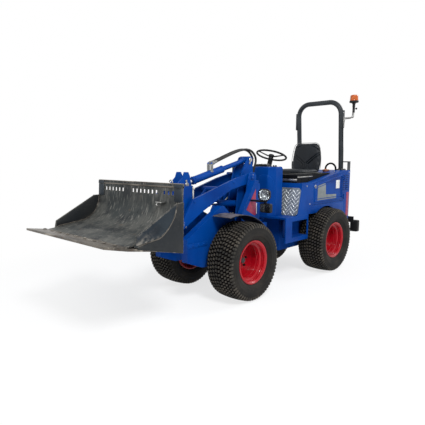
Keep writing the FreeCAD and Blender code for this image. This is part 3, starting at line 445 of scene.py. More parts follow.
class Drawing:
    """A mesh under construction, in millimetres unless said otherwise."""

    def __init__(self):
        self.bm = bmesh.new()

    def face(self, corners, material=0):
        self.bm.faces.new(corners).material_index = material

    def skin(self, rings, material=0, loop=False, shut=True):
        """Faces between rings of equally many points. Returns the rings' vertices."""
        made = [[self.bm.verts.new(point) for point in ring] for ring in rings]
        count = len(made[0])
        for here, ahead in zip(made, made[1:] + made[:1] if loop else made[1:]):
            for k in range(count if shut else count - 1):
                n = (k + 1) % count
                self.face((here[k], here[n], ahead[n], ahead[k]), material)
        return made

    def bevel(self, edges, offset):
        return bmesh.ops.bevel(self.bm, geom=edges, offset=offset, segments=2, affect="EDGES", profile=0.5)["faces"]

    def box(self, low, high, bevel=0.0, material=0):
        made = bmesh.ops.create_cube(self.bm, size=1.0)["verts"]
        for vert in made:
            vert.co = Vector((low[i] + (vert.co[i] + 0.5) * (high[i] - low[i]) for i in range(3)))
        faces = {face for vert in made for face in vert.link_faces}
        if bevel:
            edges = list({edge for vert in made for edge in vert.link_edges})
            faces = set(self.bevel(edges, bevel)) | {face for face in faces if face.is_valid}
        for face in faces:
            face.material_index = material

    def lathe(self, profile, centre, axis, steps, material=0, closed=False):
        """Surface of revolution. profile holds (distance along the axis, radius)."""
        centre, axis = Vector(centre), Vector(axis).normalized()
        side = axis.orthogonal().normalized()
        other = axis.cross(side)
        spokes = [side * math.cos(angle) + other * math.sin(angle) for angle in circle(steps)]
        rings = self.skin([[centre + axis * a + outward * r for a, r in profile] for outward in spokes],
                          material, loop=True, shut=closed)
        if not closed:
            for k in (0, -1):
                if profile[k][1] > 1e-6:
                    self.face([ring[k] for ring in rings], material)
        bmesh.ops.remove_doubles(self.bm, verts=[vert for ring in rings for vert in ring], dist=1e-6)

    def bolt(self, place, axis, size, material=0):
        """Hex head on a washer, standing on a face."""
        low = size * 0.15
        self.lathe([(0, size * 1.25), (low, size * 1.25), (low, 0)], place, axis, 16, material)
        self.lathe([(low, size), (size * 0.7, size), (size * 0.85, size * 0.8), (size * 0.85, 0)], place, axis, 6,
                   material)

    def bolt_pair(self, x, y, z, size):
        for side in (1, -1):
            self.bolt((x, side * y, z), (0, side, 0), size)

    def prism(self, outline, width, bevel=0.0):
        """Solid from an outline in the XZ plane, between two values of Y."""
        low, high = ([self.bm.verts.new((x, y, z)) for x, z in outline] for y in width)
        faces = [self.bm.faces.new(low), self.bm.faces.new(high[::-1])]
        for k in range(len(outline)):
            n = (k + 1) % len(outline)
            faces.append(self.bm.faces.new((low[k], low[n], high[n], high[k])))
        if bevel:
            self.bevel(list({edge for face in faces for edge in face.edges}), bevel)

    def tube(self, points, radius, sides=12, smooth=True):
        """Round bar along points, rounded where it turns when smooth is true."""
        path = [Vector(p) for p in points]
        if smooth and len(path) > 2:
            rounded = [path[0]]
            for before, corner, after in zip(path, path[1:], path[2:]):
                reach = min((before - corner).length, (after - corner).length, radius * 8) * 0.45
                start = corner + (before - corner).normalized() * reach
                end = corner + (after - corner).normalized() * reach
                for step in range(7):
                    t = step / 6.0
                    rounded.append(start * (1 - t) ** 2 + corner * 2 * t * (1 - t) + end * t ** 2)
            path = rounded + [path[-1]]
        rings = []
        guide = (path[1] - path[0]).orthogonal().normalized()
        for index, point in enumerate(path):
            ahead = path[min(index + 1, len(path) - 1)] - path[max(index - 1, 0)]
            ahead.normalize()
            guide = (guide - ahead * guide.dot(ahead)).normalized()
            other = ahead.cross(guide)
            rings.append([point + (guide * math.cos(a) + other * math.sin(a)) * radius for a in circle(sides)])
        made = self.skin(rings)
        self.face(made[0][::-1])
        self.face(made[-1])

    def ring_tube(self, path, radius):
        """Round bar along a closed ring of points."""
        rings = []
        for k, point in enumerate(path):
            ahead = (path[(k + 1) % len(path)] - path[k - 1]).normalized()
            side = ahead.cross(Z if abs(ahead.z) < 0.9 else X).normalized()
            up = side.cross(ahead)
            rings.append([point + (side * math.cos(a) + up * math.sin(a)) * radius for a in circle(8)])
        self.skin(rings, loop=True)

    def weld(self, points, radius, pitch):
        """Weld bead: overlapping lumps of uneven size along a line."""
        for start, end in zip(points, points[1:]):
            start, end = Vector(start), Vector(end)
            count = max(2, int((end - start).length / pitch))
            for step in range(count):
                size = radius * dice.uniform(0.85, 1.15)
                made = bmesh.ops.create_icosphere(self.bm, subdivisions=1, radius=size)["verts"]
                bmesh.ops.translate(self.bm, verts=made, vec=start.lerp(end, (step + 0.5) / count))

    def loft(self, rings, material=0, caps=(True, True)):
        """Skin over closed rings, with a face over each end that has a cap."""
        made = self.skin(rings, material)
        for ring, wanted in zip((made[0], made[-1]), caps):
            if wanted:
                self.face(ring, material)

    def stack(self, levels, centre, half, power, count, caps=(True, True)):
        """Loft along X through ovals, given as (x, how far drawn in)."""
        self.loft([oval((x, *centre), Y, Z, half[0] - drawn, max(4, half[1] - drawn), power, count)
                   for x, drawn in levels], caps=caps)

    def rim(self, outline, width, y, height):
        """Raised rim along an outline on a side face, with sloping flanks."""
        self.loft([[(x, y + out, z) for x, z in inset(outline, drawn_in)]
                   for drawn_in, out in ((0, 0), (width * 0.2, height), (width * 0.8, height), (width, 0))],
                  caps=(False, False))

    def mirror(self, keep=False):
        """Turns everything over to the other side of the machine, and keeps this side too if asked."""
        verts = self.bm.verts[:]
        if keep:
            copy = bmesh.ops.duplicate(self.bm, geom=verts + self.bm.edges[:] + self.bm.faces[:])["geom"]
            verts = [part for part in copy if isinstance(part, bmesh.types.BMVert)]
        bmesh.ops.scale(self.bm, vec=(1, -1, 1), verts=verts)

    def show(self, name, materials, body, slot=None, sides=False, **more):
        """Finishes a mesh drawn in millimetres, copied to the other side if asked."""
        if sides:
            self.mirror(keep=True)
        bmesh.ops.transform(self.bm, matrix=MILLIMETRES, verts=self.bm.verts)
        finish_piece(name, self.bm, materials, body, slot, **more)


# ---- wheels ----------------------------------------------------------------

def tyre_mesh(radius, half):
    """Turf tyre about the Y axis, in metres: carcass with raised rings, and rows of skewed blocks."""
    d = Drawing()

    def crown(y):
        """Radius of the tread's outer face at a distance from the tyre's middle."""
        return radius - 0.009 * min(1.0, abs(y) / (half - 0.024)) ** 2

    bead = half - 0.0455
    seat = radius * 0.56
    side = [(bead, seat), (bead + 0.014, seat + 0.006), (bead + 0.030, seat + 0.028),
            (bead + 0.036, seat + 0.040), (bead + 0.040, seat + 0.042), (half - 0.0035, seat + 0.062),
            (half - 0.0005, radius - 0.086), (half - 0.0005, radius - 0.080), (half - 0.002, radius - 0.078),
            (half - 0.004, radius - 0.056), (half - 0.008, radius - 0.040), (half - 0.016, radius - 0.025),
            (half - 0.027, radius - 0.0185)]
    one_side = side + [(y, crown(y) - 0.0095) for y in (0.10, 0.07, 0.035, 0.0)]
    profile = one_side + [(-y, r) for y, r in reversed(one_side[:-1])]
    inner = [(-bead + 0.02, seat), (-bead + 0.03, seat + 0.05), (bead - 0.03, seat + 0.05), (bead - 0.02, seat)]
    d.lathe(profile + inner, (0, 0, 0), Y, 96, closed=True)
    # the carcass between the blocks takes the second material, painted shade for the grooves
    for face in d.bm.faces:
        middle = face.calc_center_median()
        if math.hypot(middle.x, middle.z) > radius - 0.030 and abs(middle.y) < half - 0.012:
            face.material_index = 1

    def add_block(y0, y1, a0, a1, tops, bottoms):
        """Block between two distances across and two angles; tops and bottoms are radii at y0 and y1."""
        skew = 0.9
        rings = []
        for in_y, in_a, radii in ((0, 0, bottoms), (math.copysign(0.0016, y1 - y0), 0.0045, tops)):
            first, last = y0 + in_y, y1 - in_y
            start, end = a0 + in_a, a1 - in_a
            corners = ((first, start, radii[0]), (last, start, radii[1]), (last, end, radii[1]),
                       (first, end, radii[0]))
            rings.append([(r * math.cos(a + skew * abs(y)), y, r * math.sin(a + skew * abs(y)))
                          for y, a, r in corners])
        d.face(d.skin(rings)[1], 2)

    pitches, rows, row_width = 62, 4, 0.0318
    step = 2 * math.pi / pitches
    for index in range(pitches):
        for row in range(rows):
            a0 = index * step + (0.5 * step if row % 2 else 0.0)
            y0, y1 = row * row_width + 0.0046, (row + 1) * row_width - 0.0046
            tops = (crown(y0), crown(y1))
            for sign in (1, -1):
                add_block(sign * y0, sign * y1, a0, a0 + step * 0.62, tops, (tops[0] - 0.011, tops[1] - 0.011))
        a0 = index * step
        for sign in (1, -1):
            for y0, y1, *drops in ((0.0235, 0.0122, 0.0100, 0.0215, 0.022, 0.034),
                                   (0.0122, 0.0035, 0.0215, 0.0440, 0.034, 0.052)):
                radii = [radius - drop for drop in drops]
                add_block(sign * (half - y0), sign * (half - y1), a0, a0 + step * 0.66, radii[:2], radii[2:])
    return d.bm


def make_wheels():
    low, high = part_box("front_left_tyre")
    pattern = tyre_mesh((high.z - low.z) / 2, (high.y - low.y) / 2)
    for end in ("front", "rear"):
        for side, sign in (("left", 1), ("right", -1)):
            node, body = "%s_%s_tyre" % (end, side), "%s_%s_wheel" % (end, side)
            low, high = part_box(node)
            centre = (low + high) / 2
            bm = pattern.copy()
            bmesh.ops.rotate(bm, verts=bm.verts, matrix=Matrix.Rotation(0.3 * len(node), 3, "Y"))
            bmesh.ops.translate(bm, verts=bm.verts, vec=centre)
            finish_piece(node + "_treaded", bm, [m.rubber, m.groove, m.tread], body, "tyre", crease=30.0,
                         replaces=(node,))
            x, y, z = (centre.x - PIVOT_X) * 1000, centre.y * 1000, centre.z * 1000
            face = y - sign * 22
            out = (0, sign, 0)
            d = Drawing()
            for angle in circle(5, 0.35):
                place = (x + 61 * math.cos(angle), face, z + 61 * math.sin(angle))
                d.lathe([(0, 12), (2, 12), (3, 10), (3, 0)], place, out, 20)
                d.lathe([(3, 10), (13, 10), (15, 8), (15, 0)], place, out, 6)
                d.lathe([(15, 5.5), (21, 5.5), (22, 4.5), (22, 0)], place, out, 12)
            d.tube([(x + 96, face - sign, z + 78), (x + 98, face + sign * 12, z + 80),
                    (x + 102, face + sign * 34, z + 83)], 4.5)
            d.show(body + "_nuts", [m.black], body, "black_paint")
            d = Drawing()
            d.lathe([(19, 29), (22, 28), (26, 24), (27, 15), (25, 13), (25, 0)], (x, face, z), out, 36)
            d.show(body + "_hub_cap", [m.cap], body, "edge_steel")
            d = Drawing()
            for away, radius, drop in ((88, 180, 5), (104, 180.5, 4), (30, 160, 6), (48, 160, 4)):
                d.lathe([(0, radius + 1), (0.5, radius - drop * 0.6), (3, radius - drop), (7, radius - drop),
                         (9.5, radius - drop * 0.6), (10, radius + 1)], (x, y + sign * (away - 5), z), out, 96,
                        closed=True)
            d.show(body + "_rim_steps", [m.red_paint], body, "rim_red")
    pattern.free()


# ---- padded seat -----------------------------------------------------------

def inflate(name, bm, cap, seams, depth, axis):
    """Pads a closed mesh: remesh, cloth under pressure with a capped movement, then pressed-in seams.

    seams are lines of (first, second) pairs, in the plane across the axis that the pad faces.
    """
    bmesh.ops.transform(bm, matrix=MILLIMETRES, verts=bm.verts)
    bmesh.ops.recalc_face_normals(bm, faces=bm.faces[:])
    mesh = bpy.data.meshes.new(name)
    bm.to_mesh(mesh)
    bm.free()
    piece = new_object(name, mesh)

    def settle():
        """Applies the modifiers."""
        shape = piece.evaluated_get(bpy.context.evaluated_depsgraph_get())
        piece.data = bpy.data.meshes.new_from_object(shape)
        piece.modifiers.clear()

    remesh = piece.modifiers.new("remesh", "REMESH")
    remesh.mode = "VOXEL"
    remesh.voxel_size = 0.0055
    settle()
    before = [vert.co.copy() for vert in piece.data.vertices]
    cloth = piece.modifiers.new("cloth", "CLOTH")
    cloth.settings.use_pressure = True
    cloth.settings.uniform_pressure_force = 4.0
    cloth.settings.effector_weights.gravity = 0.0
    cloth.settings.quality = 5
    for step in range(1, 21):
        bpy.context.scene.frame_set(step)
    settle()
    bpy.context.scene.frame_set(1)
    for vert, start in zip(piece.data.vertices, before):
        moved = vert.co - start
        if moved.length > cap:
            vert.co = start + moved * (cap / moved.length)
    smooth = piece.modifiers.new("smooth", "SMOOTH")
    smooth.factor = 0.5
    smooth.iterations = 4
    detail = piece.modifiers.new("detail", "SUBSURF")
    detail.levels = detail.render_levels = 1
    settle()
    pair = (1, 2) if axis == X else (0, 1)
    normals = [vert.normal.copy() for vert in piece.data.vertices]
    for vert, normal in zip(piece.data.vertices, normals):
        if normal.dot(axis) < 0.25:
            continue
        spot = ((vert.co.x - PIVOT_X) * 1000, vert.co.y * 1000, vert.co.z * 1000)
        spot = Vector([spot[k] for k in pair])
        press = 0.0
        for line in seams:
            for start, end in zip(line, line[1:]):
                start, end = Vector(start), Vector(end)
                share = max(0.0, min(1.0, (spot - start).dot(end - start) / (end - start).length_squared))
                away = (spot - start.lerp(end, share)).length
                press = max(press, math.exp(-(away / 5.5) ** 2))
        vert.co -= normal * (depth * press)
    piece.data.shade_smooth()
    return piece


BACK_SEAMS = [
    [(-176, 1392), (-150, 1418), (-60, 1452), (33, 1460), (110, 1436), (176, 1392)],
    [(-182, 1366), (-95, 1304), (-14, 1240), (-14, 1150)],
    [(182, 1366), (95, 1304), (14, 1240), (14, 1150)],
    [(-182, 1338), (-110, 1284), (-40, 1226), (-40, 1150)],
    [(182, 1338), (110, 1284), (40, 1226), (40, 1150)],
]
CUSHION_SEAMS = [
    [(-880, -178), (-545, -178), (-545, 178), (-880, 178)],
    [(-780, -178), (-780, 178)],
    [(-665, -178), (-665, 178)],
]


def make_seat():
    """Backrest and cushion, padded and sewn, in place of their CAD blocks."""
    d = Drawing()
    half_at = ((1124, 176), (1150, 192), (1210, 199), (1290, 199), (1360, 190), (1420, 177), (1455, 163),
               (1475, 140), (1482, 108))
    rings = []
    for z, half in half_at:
        rise = (z - 1120.0) / 365.0
        front = -940 - 22 * rise
        back = -962 - 48 * min(1.0, rise * 2.4) + 14 * max(0.0, rise - 0.85) / 0.15
        slim = 1.0 if z < 1470 else 0.72
        depth = (front - back) / 2 * slim
        rings.append(oval(((front + back) / 2, 0, z), Y, X, half, depth, 3.6, 48))
    d.loft(rings)
    back = inflate("seat_back_pad", d.bm, 0.009, BACK_SEAMS, 0.009, X)
    d = Drawing()
    d.loft([oval((-712.5, 0, z), X, Y, 212 - drawn, 230 - drawn, 7.0, 64)
            for z, drawn in ((1123, 16), (1131, 7), (1146, 5), (1157, 14), (1162, 34))])
    cushion = inflate("seat_cushion_pad", d.bm, 0.008, CUSHION_SEAMS, 0.005, Z)
    for piece, node in ((back, "seat_backrest"), (cushion, "seat_cushion")):
        piece.data.materials.clear()
        piece.data.materials.append(m.vinyl)
        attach(piece, "rear_chassis")
        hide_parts(node)
    # piping round the cushion and along the backrest; its light grey is a painted highlight on the edges of the black
    # vinyl
    d = Drawing()
    d.ring_tube(oval((-712.5, 0, 1128), X, Y, 211, 229, 7.0, 64), 3.2)
    rim = [(-955 - 24 * (z - 1120.0) / 365.0, half + 2, z) for z, half in half_at[1:]]
    rim += [(x, -y, z) for x, y, z in reversed(rim)]
    d.tube(rim, 3.0, 8, smooth=False)
    d.show("seat_piping", [m.piping], "rear_chassis", "black_vinyl")


# ---- body ------------------------------------------------------------------

def make_body_trim():
    """Louvres, door frames and panels, latches, strips, grille, lamps and bolts of the rear half."""
    rear = "rear_chassis"
    d = Drawing()
    for x0 in (-1196, -1292):
        for k in range(8):
            z = 914 + 24.5 * k
            # dark box in each slot: painted shade inside the louvre
            d.box((x0, HOOD_SIDE - 4, z), (x0 + 74, HOOD_SIDE + 0.5, z + 10), 0, 1)
            d.loft([[(x0 - 2 + 78 * share, HOOD_SIDE + out * rise, z + up)
                     for rise, up in ((0, 9), (0.35, 15), (1, 9), (1, 6), (0, 8.5))]
                    for share, out in ((0, 1.0), (0.12, 7.0), (0.88, 7.0), (1, 1.0))])
    d.show("hood_louvres", [m.blue, m.dark], rear, "blue_paint", sides=True)

    # the wheel arch follows the tyre: plates from the hood's sides down to it
    hub_x, hub_z, reach = -760.0, 366.0, 384.0
    start, end = math.asin(324 / reach), math.pi - math.asin(164 / reach)
    arc = [(hub_x + reach * math.cos(a), hub_z + reach * math.sin(a))
           for a in (start + (end - start) * k / 24 for k in range(25))]
    d = Drawing()
    d.prism([(-380, 765.5), (-380, 690)] + arc + [(-1178, 530), (-1178, 765.5)],
            (HOOD_SIDE - 8, HOOD_SIDE - 0.1), 0.8)
    d.show("arch_panels", [m.blue], rear, "blue_paint", sides=True)

    door = [(-478, 795), (-478, 1013), (-1162, 1120), (-1162, 795)]
    panel = [(-560, 1006), (-572, 1014), (-722, 1014), (-738, 1004), (-742, 892), (-752, 884), (-984, 876),
             (-992, 868), (-992, 822), (-984, 814), (-578, 814), (-560, 824)]
    for name in ("left", "right"):
        rims, sheet, label = (Drawing() for _ in range(3))
        rims.rim(inset(door, 14), 20, HOOD_SIDE, 7)
        rims.rim(inset(door, 46), 9, HOOD_SIDE, 4)
        for x, z in ((-1128, 1080), (-1128, 840)):
            rims.lathe([(0, 17), (6, 17), (9, 13), (9, 0)], (x, HOOD_SIDE, z), Y, 24)
            rims.box((x - 4, HOOD_SIDE + 8, z - 14), (x + 4, HOOD_SIDE + 14, z + 14), 2)
        rims.lathe([(0, 21), (5, 21), (8, 17), (8, 12), (5, 9), (5, 0)], (-510, HOOD_SIDE, 985), Y, 28, 1)
        rims.box((-514, HOOD_SIDE + 4, 969), (-506, HOOD_SIDE + 13, 1001), 2, 1)
        sheet.prism(panel, (HOOD_SIDE, HOOD_SIDE + 2.2), 0.8)
        label.box((-1066, HOOD_SIDE, 940), (-980, HOOD_SIDE + 1.6, 1038), 0.6)
        label.box((-1058, HOOD_SIDE + 1.4, 1008), (-988, HOOD_SIDE + 2.2, 1030), 0.3, 1)
        body = name + "_door"
        for part, kind, materials, slot in ((rims, "_frame", [m.blue, m.steel], "blue_paint"),
                                            (sheet, "_panel", [m.stone], None),
                                            (label, "_label", [m.white, m.pale], None)):
            if name == "right":
                part.mirror()
            part.show(body + kind, materials, body, slot)

    d = Drawing()
    for k in range(9):
        z = 584 + 33 * k
        d.box((-1316, HOOD_SIDE, z), (-1254, HOOD_SIDE + 1.8, z + 32), 0.7)
    d.show("side_reflectors", [m.red], rear, sides=True)

    d = Drawing()
    d.box((-243, -327, 1054), (-236, 327, 1080), 2)
    for y in (DECK_SIDE, -DECK_SIDE - 5):
        d.box((-560, y, 1092), (-247, y + 5, 1104), 1.5)
    d.show("deck_strips", [m.steel], rear, "edge_steel")
    d = Drawing()
    for k in range(3):
        d.box((-250, -322, 1060 + 22 * k - 14), (-238, 322, 1060 + 22 * k - 8), 2)
    d.ring_tube(oval((-613, 0, 1119), X, Y, 368, 328, 14, 48), 5)
    for x in (-900, -760, -620, -480, -340):
        d.bolt_pair(x, DECK_SIDE, 1070, 6)
    d.show("seat_deck_trim", [m.black], rear, "black_paint")

    # grille: frame, slats and a dark sheet behind them, painted shade of the inside
    d = Drawing()
    x = -1330
    corners = [(-299, 601), (299, 601), (299, 1079), (-299, 1079)]
    d.loft([[(x + out, y * size, 840 + (z - 840) * size) for y, z in corners]
            for out, size in ((9, 1), (-5, 1), (-5, 0.93), (9, 0.93))], caps=(False, False))
    for k in range(16):
        z = 622 + 27.6 * k
        d.prism([(x - 4, z), (x - 1, z - 1), (x + 7, z + 17), (x + 4, z + 19)], (-279, 279))
    for y in (-140, 0, 140):
        d.box((x - 3, y - 5, 618), (x + 6, y + 5, 1062), 1)
    d.box((x + 8, -290, 610), (x + 9.5, 290, 1070), 0, 1)
    for y, z in ((-288, 615), (288, 615), (-288, 1065), (288, 1065), (-288, 840), (288, 840)):
        d.bolt((x - 5, y, z), (-1, 0, 0), 5)
    d.show("rear_grille_slats", [m.black, m.dark], rear, "black_paint", replaces=("rear_grille",))

    # rear lamps: ribbed housing with three lenses
    d = Drawing()
    d.box((-1338, 330, 500), (-1330.5, 470, 575), 2)
    d.stack(((-1334, 8), (-1337, 2), (-1372, 0), (-1390, 0), (-1393, 2), (-1393, 6), (-1389, 7)),
            (472.5, 457.5), (47.5, 71.5), 9, 48)
    for k in range(7):
        z = 402 + 18.5 * k
        d.box((-1386, 519, z), (-1342, 521.5, z + 8), 1)
    for y, z in ((350, 518), (350, 558), (450, 518), (450, 558)):
        d.bolt((-1338, y, z), (-1, 0, 0), 5)
    d.show("rear_lamp_housings", [m.plastic], rear, "black_plastic", sides=True, replaces=("rear_lamps",))
    for name, low, high, material, slot in (("amber", 483, 521, m.amber, "amber_plastic"),
                                            ("red", 437, 480, m.red, None), ("clear", 394, 434, m.clear, None)):
        d = Drawing()
        d.stack(((-1388, 0), (-1394, 0), (-1397, 3), (-1398, 8)), (472.5, (low + high) / 2),
                (40, (high - low) / 2), 9, 40)
        d.show("rear_lens_" + name, [material], rear, slot, sides=True)

    # bolts and welds of the roll bar
    d = Drawing()
    half = (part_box("rops_frame")[1].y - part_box("rops_frame")[0].y) * 500
    for x in (-1322, -1252):
        for y in (248, -248, 332, -332):
            d.bolt((x, y, 1160), Z, 8)
    for z in (1690, 1838):
        d.bolt_pair(post_x(z), 324.5, z, 7)
    for y in (half - 8, 8 - half):
        for x in (-1320, -1280):
            d.bolt((x, y, 1200), (0, math.copysign(1, y), 0), 6)
    d.show("roll_bar_bolts", [m.steel], rear, "edge_steel")
    d = Drawing()
    for side in (1, -1):
        d.weld([(x, y, 1162) for x, y in half_ring(post_x(1160), side * 290, 31)], 3.6, 5.5)
    d.show("roll_bar_welds", [m.charcoal], rear, "charcoal_paint")

    # filler cap, and the bolts of the hood and the kick plates
    d = Drawing()
    d.lathe([(0, 34), (8, 34), (8, 40), (20, 40), (24, 36), (24, 14), (30, 12), (30, 0)],
            (-1085, 205, 1136), Z, 40)
    for a in circle(20):
        d.box((-1085 + 39.5 * math.cos(a) - 2, 205 + 39.5 * math.sin(a) - 2, 1145),
              (-1085 + 39.5 * math.cos(a) + 2, 205 + 39.5 * math.sin(a) + 2, 1155), 0.8)
    d.show("filler_cap", [m.copper], rear)
    d = Drawing()
    for y in (-330, 330):
        for x in (-1180, -1060):
            d.bolt((x, y, 1148 - max(0, x + 1150) * 0.161), Z, 7)
    for x, z in ((-1300, 1120), (-1300, 560), (-1210, 560), (-400, 800), (-330, 1000)):
        d.bolt_pair(x, HOOD_SIDE, z, 6)
    for y in (150, 385):
        for z in (712, 965):
            for sign in (1, -1):
                d.bolt((kick_x(z) + 4.3, sign * y, z), (1, 0, 0.24), 5)
    d.show("body_bolts", [m.steel], rear, "edge_steel")


def post_x(z):
    """Where the roll bar's leaning posts stand at a height."""
    return -1300 + 65 * (z - 1158) / 817.0


def kick_x(z):
    """Where the leaning kick plates stand at a height."""
    return -155 - 83 * (z - 690) / 345


def make_kick_lozenges():
    """Raised lozenges on the two kick plates, in rows that turn about, painted near white as a highlight on the
    aluminium.
    """
    d = Drawing()
    lean = 83.0 / 345.0
    normal = Vector((1, 0, lean)).normalized()
    up = Vector((-lean, 0, 1)).normalized()
    row = 0
    z = 706.0
    while z < 972:
        y = 150.0 + (22.5 if row % 2 else 0.0)
        column = 0
        while y < 386:
            base = Vector((kick_x(z) + 4.0, y, z))
            tilt = math.radians(45 if (row + column) % 2 else -45)
            one = Y * math.cos(tilt) + up * math.sin(tilt)
            two = up * math.cos(tilt) - Y * math.sin(tilt)
            corner_cut = (y < 165 or y > 368) and (z < 722 or z > 956)
            if not corner_cut:
                d.loft([[base + normal * height + one * (19.0 * size * c) + two * (6.4 * size * s)
                         for c, s in ((1, 0), (0.55, 0.8), (-0.55, 0.8), (-1, 0), (-0.55, -0.8), (0.55, -0.8))]
                        for height, size in ((0, 1.0), (1.6, 0.82), (2.8, 0.4))], caps=(False, True))
            column += 1
            y += 45.0
        row += 1
        z += 22.5
    d.show("kick_plate_lozenges", [m.bright], "rear_chassis", "checker_aluminium", sides=True)


def make_console():
    rear = "rear_chassis"
    front_x, corner_y = 60.0, 165.0  # the console's front, and where its bevelled corners start
    d = Drawing()
    rings = []
    for drawn, out in ((0, -1.0), (2, 2.4), (6, 3.6), (22, 4.2), (42, 4.5), (64, 4.7), (84, 4.8)):
        flat = oval((0, 118, 930), Y, Z, 100 - drawn, 205 - drawn, 3.0, 56)
        rings.append([(front_x - max(0.0, abs(p.y) - corner_y) + out, p.y, p.z) for p in flat])
    d.loft(rings)
    d.show("console_bulges", [m.blue], rear, "blue_paint", sides=True)

    d = Drawing()
    corners = ((-118, -221), (-2, -221), (56, -163), (56, 163), (-2, 221), (-118, 221))
    d.loft([[(x + (drawn if x < 0 else -drawn), y * (1 - drawn / 220.0), z) for x, y in corners]
            for z, drawn in ((1196, 0), (1206, 0), (1212, 3), (1214, 9))])
    d.loft([[(x0, -half, z), (-26, -half + 4, z + 2), (-26, half - 4, z + 2), (x0, half, z)]
            for z, x0, half in ((1212, -112, 92), (1232, -108, 88), (1238, -92, 82))], 1)
    for y, size in ((-52, 22), (0, 27), (52, 22)):
        d.lathe([(0, size + 3), (4, size + 3), (5, size), (1.5, size - 1), (1.5, 0)],
                (-70, y, 1237), (-0.1, 0, 1), 36, 2)
    for y in (150, 178):
        d.lathe([(0, 13), (4, 13), (5, 8), (9, 8), (10, 10.5), (15, 10), (17, 7), (17, 0)],
                (-60, y, 1213), Z, 24, 1)
    for x, y in ((-100, -205), (-100, 205), (20, -150), (20, 150)):
        d.bolt((x, y, 1214), Z, 5, 2)
    d.show("console_top", [m.blue, m.plastic, m.steel], rear, "blue_paint")

    # levers: bellows boot, bent stick and pear knob
    d = Drawing()
    for y in (-150, -190):
        boot = [(0, 20)]
        for k in range(4):
            boot += [(4 + 6 * k, 19 - 3 * k), (7 + 6 * k, 15 - 3 * k)]
        d.lathe(boot + [(30, 6.5)], (-60, y, 1212), (-0.16, 0, 1), 24)
        d.tube([(-62, y, 1222), (-66, y, 1255), (-75, y, 1295)], 5, 12)
        d.lathe([(0, 7), (6, 11), (16, 15), (26, 15.5), (34, 12), (38, 6), (39, 0)],
                (-72.5, y, 1279), (-0.16, 0, 1), 24)
    d.show("control_lever_set", [m.plastic], rear, "black_plastic", replaces=("control_levers",))

    # steering wheel: dished spokes, grip with finger swells, and a hub pad
    hub = Vector((-230, 0, 1335))
    axis = Vector((-52, 0, 140)).normalized()
    fore = Y.cross(axis)
    d = Drawing()
    rings = []
    for a in circle(96):
        out = fore * math.cos(a) + Y * math.sin(a)
        grip = 10.4 + 0.5 * math.cos(24 * a)
        rings.append([hub + out * (164 + grip * math.cos(b)) + axis * (grip * math.sin(b)) for b in circle(14)])
    d.skin(rings, loop=True)
    for turn in (90, 210, 330):
        a = math.radians(turn)
        out = fore * math.cos(a) + Y * math.sin(a)
        d.loft([oval(hub + out * (22 + 136 * share) - axis * sink, axis.cross(out), axis, wide, thick, 3.0, 16)
                for share, wide, thick, sink in ((0.0, 17, 5, 15), (0.25, 15, 4.5, 14), (0.6, 12, 4, 8),
                                                 (0.85, 12, 4, 3), (1.0, 15, 6, 0))])
    d.lathe([(-20, 20), (-18, 27), (-8, 31), (2, 31), (8, 27), (11, 18), (12, 0)], hub, axis, 40)
    d.lathe([(-44, 27), (-30, 27), (-22, 22), (-20, 20)], hub, axis, 32)
    d.show("steering_wheel_rim", [m.plastic], "steering_wheel", "black_plastic", replaces=("steering_wheel",))


def make_beacon():
    rear = "rear_chassis"
    x, y, z = post_x(1775), 444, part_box("beacon")[1].z * 1000 - 69  # foot of the dome
    d = Drawing()
    profile = [(0, 47), (2, 48.5)]
    for k in range(9):
        profile += [(5 + 6.2 * k, 48.2 - 0.5 * k), (8 + 6.2 * k, 47.0 - 0.5 * k)]
    profile += [(62, 41.5), (66.5, 36), (69, 24), (69, 0)]
    d.lathe(profile, (x, y, z), Z, 48)
    d.show("beacon_dome", [m.amber], rear, "amber_plastic", replaces=("beacon",))
    d = Drawing()
    d.lathe([(0, 40), (3, 50), (9, 52), (20, 52), (24, 49.5), (24, 0)], (x, y, z - 23), Z, 48)
    d.lathe([(0, 10), (0, 14), (60, 14), (66, 16), (98, 16), (106, 22), (112, 24), (118, 24)],
            (x, y, z - 136), Z, 32)
    d.tube([(x, y + 14, z - 92), (x, y + 30, z - 92)], 4, 10)
    d.lathe([(0, 11), (8, 12), (12, 9), (12, 0)], (x, y + 28, z - 92), Y, 12)
    d.show("beacon_base", [m.plastic], rear, "black_plastic")
    d = Drawing()
    d.tube([(x, 332, 1775), (x, y - 4, 1775), (x, y, 1779), (x, y, 1840)], 8, 16, smooth=False)
    d.box((x - 12, 324.3, 1672), (x + 12, 333, 1784), 2)
    d.show("beacon_stay", [m.steel], rear, "edge_steel")
    d = Drawing()
    wire = [(x, y - 9, 1850), (x + 2, y - 12, 1820), (x + 2, y - 14, 1792), (x + 4, y - 30, 1763), (x + 6, 345, 1762),
            (x + 12, 330, 1700), (x - 2, 321, 1600), (post_x(1400), 321, 1400), (post_x(1260), 320, 1255)]
    d.tube(wire, 3, 8)
    d.show("beacon_cable", [m.plastic], rear, "black_plastic")


# ---- front half ------------------------------------------------------------

